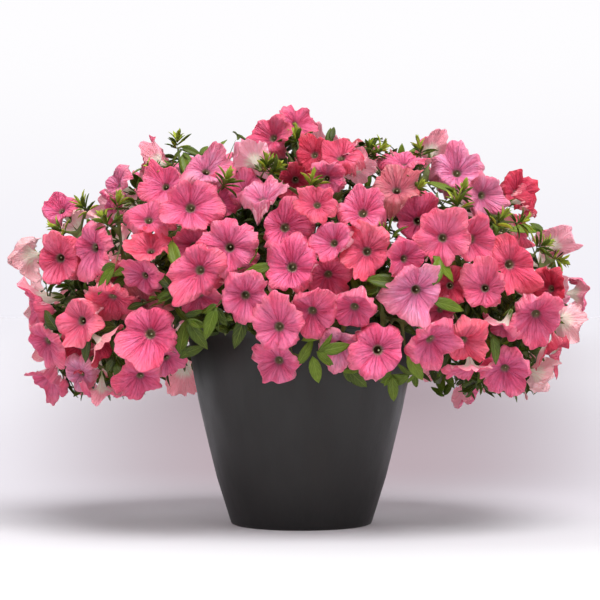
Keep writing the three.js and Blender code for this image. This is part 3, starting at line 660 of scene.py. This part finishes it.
def bloom_points(bloom):
    lobe_share = 0.5 + 0.5 * np.cos(5 * around_rest)
    seams, wide_seams = seam_dips(6), seam_dips(13)
    lift = per_lobe([luck.gauss(0.01, 0.20) for _ in range(5)])
    curl = per_lobe([max(0.0, luck.gauss(0.14, 0.17)) + (0.5 if luck.random() < 0.24 else 0)
                     for _ in range(5)])
    longer = per_lobe([luck.gauss(0.02, 0.065) for _ in range(5)])
    belly = per_lobe([draw(0.03, 0.12) for _ in range(5)])
    twist = per_lobe([luck.gauss(0, 0.17) for _ in range(5)]) * np.sin(5 * around_rest)
    ruffle = wave(luck.randint(9, 12), 0.044) + wave(luck.randint(14, 18), 0.034)
    ruffle = ruffle + wave(luck.randint(5, 8), 0.044) + crinkle(0.032)
    scallop = wave(luck.randint(12, 16), 0.012) + crinkle(0.052)
    lean = draw(0.02, 0.18) * np.cos(2 * (around_rest - draw(0, math.pi)))
    cup, cone = draw(0.0, 0.3), draw(-0.04, 0.15)

    # Small blooms are drawn a little larger, and so are the low ones
    largeness = min(1.0, max(0.0, (bloom["radius"] - 0.026) / 0.008))
    whole = 1.07 - 0.07 * largeness + 0.07 * (bloom["centre"].z < 0.27)
    growth = (whole + outward ** 3 * (longer - 0.12 * wide_seams - 0.08 * seams) + outward ** 6 * scallop
              + 0.03 * lobe_share * outward ** 4)
    past = np.clip((outward - 0.58) / 0.42, 0, 1)
    height = (high * (1 + cup * outward) + cone * outward + outward ** 2 * (lift + lean + twist)
              - curl * past ** 2 + outward ** 2.2 * ruffle
              + np.sin(math.pi * outward ** 0.8) * (belly * lobe_share - 0.07 * wide_seams)
              - 0.08 * seams * outward ** 2)
    shrink = 1 - 0.32 * curl * past

    # The tube bends off to one side behind the face, and the face is squashed a little
    off, off_way = draw(0.02, 0.13), draw(0, math.tau)
    slide = off * (1 - outward) * np.clip((high + 1.15) / 0.6, 0, 1)
    squash_way = draw(0, math.pi)
    growth = growth * (1 - draw(0.0, 0.2) * outward * np.cos(around_rest - squash_way) ** 2)
    side, face = bloom["lobe"], bloom["face"]
    axes = np.array([side, face.cross(side), face])
    local = np.stack([np.cos(around_rest) * wide * growth * shrink + slide * math.cos(off_way),
                      np.sin(around_rest) * wide * growth * shrink + slide * math.sin(off_way), height], 1)
    return np.array(bloom["centre"]) + bloom["radius"] * local @ axes


print("a bloom's points:", bloom_points(next(iter(stems.values()))["blooms"][0]).shape)

# %% [markdown]
# ## Each bloom's own pink
# Most of the blooms are a clear coral pink. The tone goes with the place: a bloom in the shade of others is
# given a deep tone, which is painted shade; those on the crown, where the light from above falls fullest,
# are given a light pink, which is a painted highlight; and those at the mound's edge are more often pale. So
# each bloom's place sets the odds of the seven tones, and a seeded draw picks one.

# %% Tones
TONES = {"bright": tint(252, 120, 160), "deep": tint(222, 76, 102), "coral": tint(253, 112, 141),
         "pale": tint(255, 195, 203), "lightpink": tint(255, 154, 190), "mauve": tint(220, 122, 132),
         "lilac": tint(249, 116, 152)}
# Odds of the tones, in the order of TONES
# Shaded blooms often draw the deep tone (painted shade), and crown blooms the light pink (painted highlight)
ODDS = {"shaded": (24, 44, 16, 0, 0, 8, 8), "edge": (40, 2, 8, 22, 14, 4, 10),
        "crown": (42, 2, 4, 0, 40, 6, 6), "open": (58, 1, 12, 1, 12, 6, 10)}
EDGE_FROM, CROWN_FROM = 0.27, 0.38
SHADE_AHEAD, SHADE_REACH = 0.010, 0.036
front_luck = random.Random(12)


def is_shaded(bloom):
    for other in all_blooms:
        way = other["centre"] - bloom["centre"]
        out = way.dot(bloom["face"])
        if out > SHADE_AHEAD and (way - bloom["face"] * out).length < SHADE_REACH:
            return True
    return False


def odds_of(bloom):
    if is_shaded(bloom):
        return ODDS["shaded"]
    if abs(bloom["centre"].x) > EDGE_FROM:
        return ODDS["edge"]
    return ODDS["crown" if bloom["centre"].z > CROWN_FROM else "open"]


def tone_of(bloom):
    in_front = bloom["centre"].y < 0.05 and bloom["face"].y < 0.35
    name = (front_luck if in_front else luck).choices(list(TONES), odds_of(bloom))[0]
    base = TONES[name]
    shift, hue = max(-0.05, min(0.11, luck.gauss(0.01, 0.07))), luck.gauss(0, 0.03)
    weights = (1 + 0.5 * shift, 1.13 + 2.0 * shift, 1.13 + 1.6 * shift + hue)
    return tuple(min(1.0, part * weight) for part, weight in zip(base, weights)) + (luck.random(),)


print("shaded by others:", sum(map(is_shaded, all_blooms)), "of", len(all_blooms), "blooms")

# %% [markdown]
# ## Setting the blooms
# Every bloom of a stem becomes part of one piece, so that the piece stands for the same
# node as in the frame. Each carries its own tone and seed as a colour on its points, and
# a sparse tree of petal points is kept for the leaves, which must not poke through.

# %% Blooms of each stem


def add_shape(bm, mesh, points, tone):
    shape = mesh.copy()
    shape.vertices.foreach_set("co", np.asarray(points, dtype=np.float32).ravel())
    colours = shape.color_attributes.new("tone", "FLOAT_COLOR", "POINT")
    colours.data.foreach_set("color", np.tile(np.array(tone, dtype=np.float32), len(shape.vertices)))
    bm.from_mesh(shape)
    bpy.data.meshes.remove(shape)


def search_tree(points):
    made = KDTree(len(points))
    for place, point in enumerate(points):
        made.insert(point, place)
    made.balance()
    return made


touch = []
for name, stem in stems.items():
    bm = bmesh.new()
    for bloom in stem["blooms"]:
        points = bloom_points(bloom)
        add_shape(bm, trumpet, points, tone_of(bloom))
        touch.extend(Vector(point) for point in points[::4])
    if stem["blooms"]:
        stand_for(show(mesh_from(bm, "blooms" + name[-3:]), [petal]), "petals", name)
    else:
        bm.free()
petal_tree = search_tree(touch)
print("blooms:", len(all_blooms), "petal points kept:", len(touch))

# %% [markdown]
# ## Leaves
# A leaf is a small grid, drawn in to a point at both ends, folded along its midrib and
# given a wall. It is repeated thousands of times, so it has only a few dozen faces, and
# those deep inside have fewer still. A bud is a small closed trumpet: an outline
# spun in ten steps, with its pleats twisted as petals are before they open.

# %% The leaf's form


def blade_form(name, columns, rows, fullness, wall):
    bm = bmesh.new()
    bmesh.ops.create_grid(bm, x_segments=columns, y_segments=rows, size=0.5)
    draw_form(bm, lambda face, vert: (vert.co.x + 0.5, vert.co.y + 0.5))
    for vert in bm.verts:
        along = vert.co.y + 0.5
        vert.co.y = along
        vert.co.x *= math.sin(math.pi * along ** fullness) ** 0.75 if 0.001 < along < 0.999 else 0.0
    bmesh.ops.remove_doubles(bm, verts=bm.verts, dist=1e-4)
    face_out(bm)
    bmesh.ops.solidify(bm, geom=list(bm.faces), thickness=wall)
    face_out(bm)
    return mesh_from(bm, name)


leaf_form = blade_form("leaf", 4, 6, 0.82, 0.02)
small_form = blade_form("small_leaf", 2, 4, 0.85, 0.025)
tuft_form = blade_form("tuft_leaf", 2, 5, 1.25, 0.025)
sepal_form = blade_form("sepal", 2, 3, 0.8, 0.05)


def spin_twig():
    bm = bmesh.new()
    bmesh.ops.create_cone(bm, cap_ends=True, segments=5, radius1=0.0011, radius2=0.0005, depth=1,
                          matrix=Matrix.Translation((0, 0, 0.5)))
    draw_form(bm, lambda face, vert: (0.25, 0.2))
    return mesh_from(bm, "twig")


# [radius, height, way along the petal's map] as shares of the bud's length
BUD = [(0.0, 0.0, 1.98), (0.050, 0.02, 1.94), (0.052, 0.25, 1.80), (0.062, 0.45, 1.62), (0.085, 0.62, 1.45),
       (0.105, 0.76, 1.30), (0.092, 0.88, 1.18), (0.045, 0.97, 1.10), (0.0, 1.0, 1.05)]


def spin_bud():
    bm, course = spin_outline([place[:2] for place in BUD], [place[2] for place in BUD], 10)
    for vert in bm.verts:
        pleat = 1 + 0.16 * math.cos(5 * math.atan2(vert.co.y, vert.co.x) + 5 * vert.co.z) * (vert.co.z > 0.5)
        vert.co.x, vert.co.y = vert.co.x * pleat, vert.co.y * pleat
    face_out(bm)
    draw_form(bm, lambda face, vert: (math.atan2(vert.co.y, vert.co.x) / math.tau % 1.0, vert[course]))
    bm.verts.layers.float.remove(course)
    return mesh_from(bm, "bud")


twig_form, bud_form = spin_twig(), spin_bud()
forms = (leaf_form, small_form, tuft_form, sepal_form, twig_form, bud_form)
flat = {mesh.name: np.array([vert.co for vert in mesh.vertices]) for mesh in forms}
print("leaf:", len(leaf_form.polygons), "faces; sepal:", len(sepal_form.polygons), "faces")


def blade_points(form, base, along, normal, length, width, bend=0.16, fold=0.35, twist=0.0):
    across = along.cross(normal).normalized()
    normal = across.cross(along).normalized()
    shape = flat[form.name]
    run, side, lift = shape[:, 1], shape[:, 0] * width, shape[:, 2] * length
    roll = twist * run
    waves = 0.012 * length * np.sin(run * 17 + roll * 9) * (np.abs(side) / width * 2) ** 2
    height = lift + fold * np.abs(side) - bend * length * run ** 2 + waves
    turned = side * np.cos(roll) - height * np.sin(roll) * 0.4
    raised = height + side * np.sin(roll)
    return (np.array(base) + np.outer(run * length, along) + np.outer(turned, across)
            + np.outer(raised, normal))


GREENS = {"young": tint(154, 164, 52), "fresh": tint(86, 104, 26), "mid": tint(64, 80, 18),
          "old": tint(38, 48, 8)}


def green_of(name):
    shift = max(0.5, 1 + luck.gauss(0, 0.2))
    return tuple(min(1.0, part * shift) for part in GREENS[name][:3]) + (1.0,)


# %% [markdown]
# ## Room for the loose leaves
# A real plant is packed with leaves under its blooms, so that no light comes through.
# They sit on thin side shoots. A side shoot starts on the nearest run of stalk, heads for
# a point drawn inside the mound and carries leaves in turn. A leaf is kept only where it
# meets no petal, no pot and no soil, and none hangs below the mound's own underside.

# %% Growing loose leaves
# How low leaves may hang: at the sides, elsewhere, and in front of the pot
SIDE_FROM, LOW_SIDE, LOWEST = 0.19, 0.148, 0.165
FRONT_HALF, LOW_FRONT = 0.145, 0.227
# Zones round the pot, as height and radius, kept clear by leaves and by shoots' roots
LEAF_CLEAR, ROOT_CLEAR = (0.253, 0.146), (0.245, 0.15)
LEAVES_WANTED = 4600
SHOOT_DRAWS = 9000
# Least distances to a petal
SHOOT_GAP, LEAF_GAP, BUD_GAP = 0.003, 0.006, 0.0045


def scatter(size):
    return Vector([luck.gauss(0, size) for _ in range(3)])


def in_pot(point, zone):
    return point.z < zone[0] and math.hypot(point.x, point.y) < zone[1]


def lowest_at(point):
    if abs(point.x) > SIDE_FROM:
        return LOW_SIDE
    return LOW_FRONT if abs(point.x) < FRONT_HALF and point.y < 0 else LOWEST


def has_room(points, clear):
    for point in points:
        if mound_level(point) > 0.99 or in_pot(point, LEAF_CLEAR) or point.z < lowest_at(point):
            return False
        if petal_tree.find(point)[2] < clear:
            return False
    return True


def loose_leaf(base, stalk_way):
    out = mound_way(base)
    side = stalk_way.cross(scatter(1)).normalized()
    along = (side + out * draw(0.1, 0.9) + stalk_way * draw(0.0, 0.6)).normalized()
    length = draw(0.014, 0.033)
    normal = (out + Vector((0, 0, 0.8)) + scatter(0.35)).normalized()
    if abs(normal.dot(along)) > 0.92:
        return None
    if not has_room([base + along * length * part for part in (0.3, 0.65, 1.0)], LEAF_GAP):
        return None
    return {"base": base, "along": along, "normal": normal, "length": length, "level": mound_level(base)}


run_points = [(name, start.lerp(end, step / 4)) for name, stem in stems.items()
              for start, end in stem["runs"] for step in range(5)]
run_points = [(name, point) for name, point in run_points if not in_pot(point, ROOT_CLEAR)]
run_tree = search_tree([point for _, point in run_points])


def mound_point(level):
    way = scatter(1).normalized()
    middle = Vector((0, 0, MOUND["middle"]))
    near, far = 0.0, 0.5
    for _ in range(14):
        half = (near + far) / 2
        near, far = (half, far) if mound_level(middle + way * half) < level else (near, half)
    return middle + way * near


def side_shoot(target):
    _, place, away = run_tree.find(target)
    name, base = run_points[place]
    way = target - base
    along_it = [base.lerp(target, part) for part in (0.25, 0.5, 0.75, 1.0)]
    if not 0.018 < away < 0.12 or not has_room(along_it, SHOOT_GAP):
        return None
    way.normalize()
    steps = max(5, int(away / 0.0075))
    leaves = [loose_leaf(base.lerp(target, min(1.0, 0.12 + 0.9 * step / steps)), way)
              for step in range(steps)]
    leaves = [leaf for leaf in leaves if leaf]
    if len(leaves) < 3:
        return None
    return name, {"base": base, "way": way, "length": away, "leaves": leaves}


def shoot_target():
    target = mound_point(draw(0.15, 0.95))
    share = luck.random()
    if share < 0.2:
        return Vector((luck.choice((-1, 1)) * draw(0.19, 0.31), draw(-0.16, 0.16),
                       draw(0.15, 0.28)))
    if share < 0.45:
        return Vector((draw(-0.2, 0.2), draw(-0.24, -0.12), draw(0.23, 0.33)))
    return target


for stem in stems.values():
    stem["shoots"] = []
count = 0
for _ in range(SHOOT_DRAWS):
    target = shoot_target()
    shoot = side_shoot(target) if count < LEAVES_WANTED else None
    if shoot:
        stems[shoot[0]]["shoots"].append(shoot[1])
        count += len(shoot[1]["leaves"])
print("side shoots:", sum(len(stem["shoots"]) for stem in stems.values()), "loose leaves:", count)

# %% [markdown]
# ## Dressing each stem
# A stem's greenery is one piece too: the frame's leaves with a few smaller ones beside
# each, the side shoots, whorls of narrow young leaves for the tufts, and five sepals
# behind each bloom. Buds stand at some tufts and shoot tips, where there is room.

# %% The foliage of each stem
# Each whorl of a tuft: leaves, their length, and how far they open in degrees
WHORLS = ((5, 0.021, 78), (5, 0.020, 56), (5, 0.017, 34), (4, 0.013, 14))


def add_blade(bm, form, tone, *place, **shape):
    add_shape(bm, form, blade_points(form, *place, **shape), tone)


def add_twig(bm, shoot):
    turned = shoot["way"].to_track_quat("Z", "Y").to_matrix()
    shape = flat["twig"] * np.array([1, 1, shoot["length"]])
    points = np.array(shoot["base"]) + shape @ np.array(turned).T
    add_shape(bm, twig_form, points, green_of("mid"))


def add_tuft(bm, tuft):
    base, way = tuft["base"], tuft["way"]
    first = way.orthogonal().normalized()
    for whorl, (count, length, open_angle) in enumerate(WHORLS):
        for leaf in range(count):
            turn = leaf * math.tau / count + whorl * 0.7 + draw(-0.4, 0.4)
            out = Quaternion(way, turn) @ first
            lean = math.radians(open_angle + draw(-16, 16))
            along = way * math.cos(lean) + out * math.sin(lean)
            normal = way * math.sin(lean) - out * math.cos(lean)
            size = length * draw(0.6, 1.2)
            green = green_of("young" if whorl > 1 or luck.random() < 0.3 else "mid")
            add_blade(bm, tuft_form, green, base + way * (0.0035 * whorl - 0.005), along, normal,
                      size, size * draw(0.20, 0.34), bend=draw(-0.15, 0.3), fold=0.6)


def add_calyx(bm, bloom):
    radius, face = bloom["radius"], bloom["face"]
    foot = bloom["centre"] - face * 1.19 * radius
    for sepal in range(5):
        out = Quaternion(face, sepal * math.tau / 5 + 0.6) @ bloom["lobe"]
        lean = math.radians(draw(16, 34))
        along = face * math.cos(lean) + out * math.sin(lean)
        length = radius * draw(0.42, 0.56)
        normal = out * math.cos(lean) * -1 + face * math.sin(lean)
        add_blade(bm, sepal_form, green_of("mid"), foot + out * 0.0016, along, normal,
                  length, length * 0.24, bend=-0.05, fold=0.2)


def add_bud(buds, greens, base, way):
    length = draw(0.013, 0.026)
    if not has_room([base + way * length * part for part in (0.3, 0.65, 1.0)], BUD_GAP):
        return
    turned = (way.to_track_quat("Z", "Y") @ Quaternion((0, 0, 1), draw(0, math.tau))).to_matrix()
    width = draw(0.85, 1.1) * length
    points = np.array(base) + (flat["bud"] * np.array([width, width, length])) @ np.array(turned).T
    tone = TONES[luck.choice(("bright", "coral", "mauve", "deep"))][:3]
    add_shape(buds, bud_form, points, tone + (luck.random(),))
    for sepal in range(5):
        out = Quaternion(way, sepal * math.tau / 5) @ way.orthogonal().normalized()
        along = (way + out * 0.22).normalized()
        size = length * draw(0.42, 0.6)
        normal = (out * -1 + way * 0.2).normalized()
        add_blade(greens, sepal_form, green_of("mid"), base + out * 0.0008, along, normal,
                  size, size * 0.2, bend=-0.05, fold=0.2)


def add_frame_leaf(bm, leaf):
    # Frame leaves low on the left take the darker greens: painted shade
    in_painted_shade = leaf["base"].z < 0.3 and leaf["base"].x < -0.06
    greens = ("mid", "old") if in_painted_shade else ("mid", "fresh", "fresh")
    along, normal, length = leaf["along"], leaf["normal"], leaf["length"]
    add_blade(bm, leaf_form, green_of(luck.choice(greens)), leaf["base"], along, normal, length,
              length * draw(0.34, 0.44), bend=0.16, fold=0.28, twist=draw(-0.2, 0.2))
    for _ in range(3):
        way = Quaternion(normal, draw(0.5, 1.3) * luck.choice((-1, 1))) @ along
        base = leaf["base"] - along * draw(0.0, 0.008) + normal * draw(-0.002, 0.002)
        size = length * draw(0.4, 0.75)
        lean = (normal + scatter(0.3)).normalized()
        if min(petal_tree.find(base + way * size * part)[2] for part in (0.4, 0.7, 1.0)) > LEAF_GAP:
            add_blade(bm, leaf_form, green_of(luck.choice(greens)), base, way, lean, size,
                      size * draw(0.32, 0.44), bend=draw(0.0, 0.3), fold=0.4)


def add_shoot(bm, shoot):
    add_twig(bm, shoot)
    for leaf in shoot["leaves"]:
        age = "old" if leaf["level"] < 0.55 else luck.choice(("mid", "old", "mid", "old", "fresh"))
        form = small_form if leaf["level"] < 0.7 else leaf_form
        length = leaf["length"]
        add_blade(bm, form, green_of(age), leaf["base"], leaf["along"], leaf["normal"], length,
                  length * draw(0.28, 0.46), bend=draw(0.02, 0.3),
                  fold=draw(0.15, 0.5), twist=draw(-0.5, 0.5))


foliage_triangles = 0
for name, stem in stems.items():
    bm = bmesh.new()
    buds = bmesh.new()
    for tuft in stem["tufts"]:
        if luck.random() < 0.6:
            add_bud(buds, bm, tuft["base"], (tuft["way"] + scatter(0.25)).normalized())
    for shoot in stem["shoots"]:
        tip = shoot["base"] + shoot["way"] * shoot["length"]
        if mound_level(tip) > 0.6 and luck.random() < 0.2:
            add_bud(buds, bm, tip, (shoot["way"] + mound_way(tip)).normalized())
    if buds.verts:
        stand_for(show(mesh_from(buds, "buds" + name[-3:]), [petal]), "petals", name)
    else:
        buds.free()
    for kind, add in (("leaves", add_frame_leaf), ("shoots", add_shoot),
                      ("tufts", add_tuft), ("blooms", add_calyx)):
        for part in stem[kind]:
            add(bm, part)
    mesh = mesh_from(bm, "foliage" + name[-3:])
    foliage_triangles += triangles_of(mesh)
    stand_for(show(mesh, [leaf_green]), "leaves", name)
print("foliage triangles:", foliage_triangles)

# %% [markdown]
# ## The pot
# The pot is turned too: one outline from the middle of the base out, up the slightly
# swelling wall to the rim's band, over the lip, and down the inside. Four drain holes
# are then cut through the floor, at the same places as in the frame.

# %% The pot's form
# [radius, height] in millimetres
POT_OUTLINE = [(0, 1.6), (64, 1.6), (68, 0), (81, 0), (84, 1.4), (85.4, 5), (92.6, 28), (101.6, 57),
               (110.8, 94), (121.7, 140), (129, 177), (132.8, 203), (135.4, 222), (136.4, 234.2),
               (137.2, 235), (139.2, 235.6), (139.9, 237), (140.0, 246.5), (139.4, 249), (137.6, 250),
               (136.0, 249.6), (135.2, 248), (134.4, 240), (131.2, 222), (127.8, 203), (116.7, 140),
               (96.6, 57), (82, 8), (78, 6.2), (0, 6)]
DRAIN_RADIUS, DRAIN_CIRCLE = 0.007, 0.048

bm, course = spin_outline([(radius / 1000, height / 1000) for radius, height in POT_OUTLINE], (), 96)
bm.verts.layers.float.remove(course)
face_out(bm)
blank = show(mesh_from(bm, "pot_body"))
bm = bmesh.new()
for hole in range(4):
    way = math.radians(45 + 90 * hole)
    spot = Vector((math.cos(way), math.sin(way), 0)) * DRAIN_CIRCLE
    bmesh.ops.create_cone(bm, cap_ends=True, segments=24, radius1=DRAIN_RADIUS, radius2=DRAIN_RADIUS,
                          depth=0.03, matrix=Matrix.Translation(spot))
drill = show(mesh_from(bm, "drill"))
drain = blank.modifiers.new("drain", "BOOLEAN")
drain.operation, drain.solver, drain.object = "DIFFERENCE", "EXACT", drill
pot_mesh = bpy.data.meshes.new_from_object(blank.evaluated_get(bpy.context.evaluated_depsgraph_get()))
for spare in (blank, drill):
    bpy.data.objects.remove(spare)
print("pot:", triangles_of(pot_mesh), "triangles")

# %% The pot's finish
charcoal, tree, shader = new_material("charcoal")
rise = split(node("ShaderNodeTexCoord").outputs["Object"])["Z"]
streaks = noise_of(place_of((220, 220, 5)), 1.0, 4.0)
smears = noise_of(place_of((26, 26, 9)), 1.0, 4.0)
# The wall gets darker towards the foot; in part this is painted shade
low = between(rise, -0.02, 0.07)
body = mixed(low, tint(3, 2, 2), tint(20, 15, 13))
body = mixed(between(rise, 0.08, 0.24), body, tint(26, 21, 18))
body = mixed(between(streaks, 0.38, 0.66, 0.0, 0.5), body, tint(21, 17, 15))
body = mixed(between(smears, 0.52, 0.75, 0.0, 0.3), body, tint(43, 36, 33))
grain = math_of("ADD", streaks, noise_of(place_of(), 900))
give(shader, {
    "Base Color": mottled(body, 300, 0.2),
    "Normal": bump_of(grain, 0.0002, 0.5),
    "Roughness": between(smears, 0.3, 0.7, 0.40, 0.56),
    "Specular IOR Level": 0.5})
pot = stand_for(show(pot_mesh, [charcoal]), "pot", "pot")
print("pot is", [round(size, 3) for size in pot.dimensions])

# %% [markdown]
# ## The soil
# Potting soil is dark, moist and crumbly, with a few light grains. Its top swells a
# little in the middle. A disc with many rings is lifted by noise, and loose crumbs lie
# on it.

# %% The soil's form
SOIL_RINGS = (0.1295, 0.124, 0.114, 0.103, 0.092, 0.081, 0.070, 0.058, 0.046, 0.034, 0.022, 0.011, 0.004)
CRUMBS = 260


def crown_at(radius):
    return 0.2245 + 0.007 * (1 - (radius / 0.13) ** 2)


bm = bmesh.new()
bmesh.ops.create_circle(bm, cap_ends=False, segments=72, radius=0.129)
for vert in bm.verts:
    vert.co.z = 0.205
ring = list(bm.edges)
for radius in SOIL_RINGS:
    grown = bmesh.ops.extrude_edge_only(bm, edges=ring)["geom"]
    ring = [part for part in grown if isinstance(part, bmesh.types.BMEdge)]
    for vert in (part for part in grown if isinstance(part, bmesh.types.BMVert)):
        way = vert.co.xy.normalized()
        rough = 0.0035 * (luck.random() - 0.5) if radius < SOIL_RINGS[0] else 0
        vert.co = (way.x * radius, way.y * radius, crown_at(radius) + rough)
bmesh.ops.contextual_create(bm, geom=ring)
bmesh.ops.contextual_create(bm, geom=[edge for edge in bm.edges if edge.is_boundary])
for _ in range(CRUMBS):
    spot = math.sqrt(luck.random()) * 0.122
    way = draw(0, math.tau)
    crumb = bmesh.ops.create_icosphere(bm, subdivisions=1, radius=draw(0.0012, 0.0042))
    shift = Matrix.Translation((spot * math.cos(way), spot * math.sin(way), crown_at(spot)))
    bmesh.ops.transform(bm, matrix=shift, verts=crumb["verts"])
face_out(bm)
soil_mesh = mesh_from(bm, "soil_top", smooth=False)

loam, tree, shader = new_material("loam")
earth = mixed(noise_of(place_of(), 120, 5.0), tint(38, 26, 18), tint(78, 56, 38))
grains = between(noise_of(place_of(), 330, 1.0), 0.68, 0.72)
give(shader, {
    "Base Color": mottled(mixed(grains, earth, tint(190, 176, 150)), 420, 0.8),
    "Normal": bump_of(noise_of(place_of(), 480, 5.0), 0.002),
    "Roughness": 0.9})
stand_for(show(soil_mesh, [loam]), "soil", "soil")
print("soil:", triangles_of(soil_mesh), "triangles")

# %% [markdown]
# ## The studio
# The photograph has a pale sheet that runs up behind the plant. It is white in front, and soft lilac grey
# behind the pot, where the mound keeps the light off it. The floor is one wide sheet with that shade painted
# on: it is painted greyer behind the pot, a soft pool of painted shadow lies round the pot's back with a
# painted band of it behind, a wedge of painted shadow widens with the distance, and all fade out sideways,
# so that no edge shows from any side. The pool also glows faintly, painted light that lifts the real cast
# shadow in it. The room turns from lilac at the horizon to white above. The light is one broad soft sun from
# the front and above, and a weak one from behind.

# %% Floor, light and room
bm = bmesh.new()
bmesh.ops.create_circle(bm, cap_ends=True, segments=64, radius=30)
floor_mesh = mesh_from(bm, "floor", smooth=False)
paper, tree, shader = new_material("paper")
spot = split(node("ShaderNodeTexCoord").outputs["Object"])
deep_in = spot["Y"]
widening = math_of("MAXIMUM", math_of("MULTIPLY_ADD", deep_in, 0.4, 1.0), 0.3)
shifted = math_of("SUBTRACT", math_of("DIVIDE", spot["X"], widening), 0.03)
aside = math_of("ABSOLUTE", shifted)


def patch(side_fade, *deep_fades):
    share = between(aside, *side_fade, 1.0, 0.0)
    for fade in deep_fades:
        share = times(share, between(deep_in, *fade))
    return share


# Painted shadows on the floor: a wedge widening behind the plant, a pool round the pot's back, and a band
# behind it
painted_shadow_wedge = patch((0.08, 0.42), (0.0, 0.9), (5.0, 18.0, 1.0, 0.0))
painted_shade_and_glow_pool = patch((0.15, 0.95), (-0.37, -0.16), (0.9, 3.5, 1.0, 0.3), (3.0, 12.0, 1.0, 0.0))
painted_shadow_band = patch((0.10, 0.42), (0.15, 0.6), (1.5, 5.0, 1.0, 0.0))
# The sheet is painted greyer behind the pot: painted shade
sheet = mixed(patch((0.5, 1.8), (-0.34, 0.3)), tint(216, 217, 219), tint(197, 195, 200))
for share, shade in ((between(deep_in, 6.0, 16.0), (0.955, 0.955, 0.96, 1)),
                     (painted_shade_and_glow_pool, (0.78, 0.77, 0.785, 1)), (painted_shadow_band, (0.63, 0.62, 0.63, 1))):
    sheet = mixed(share, sheet, shade, "MULTIPLY")
give(shader, {
    "Base Color": mixed(painted_shadow_wedge, sheet, tint(131, 117, 123)),
    # The pool glows faintly: painted light that lifts the real cast shadow there
    "Emission Color": mixed(painted_shade_and_glow_pool, (0, 0, 0, 1), (0.112, 0.097, 0.103, 1)),
    "Emission Strength": 1.0,
    "Roughness": 0.8,
    "Specular IOR Level": 0.1})
floor = show(floor_mesh, [paper])

room = bpy.data.worlds.new("room")
room.use_nodes = True
tree = room.node_tree
way_seen = split(node("ShaderNodeTexCoord").outputs["Generated"])
above = between(way_seen["Z"], -0.01, 0.13)
is_seen = node("ShaderNodeLightPath").outputs["Is Camera Ray"]
give(tree.nodes["Background"], {
    "Color": mixed(above, tint(243, 241, 248), tint(254, 253, 255)),
    "Strength": between(is_seen, 0.0, 1.0, 0.42, 1.0)})
bpy.context.scene.world = room


def soft_sun(name, place, strength, spread):
    lamp = bpy.data.lights.new(name, "SUN")
    lamp.energy = strength
    lamp.angle = math.radians(spread)
    light = bpy.data.objects.new(name, lamp)
    light.location = place
    light.rotation_euler = (-Vector(place)).to_track_quat("-Z", "Y").to_euler()
    bpy.context.scene.collection.objects.link(light)


soft_sun("key", (0.4, -1.2, 2.4), 4.1, 40)
soft_sun("fill", (-0.9, 1.8, 1.6), 0.6, 60)
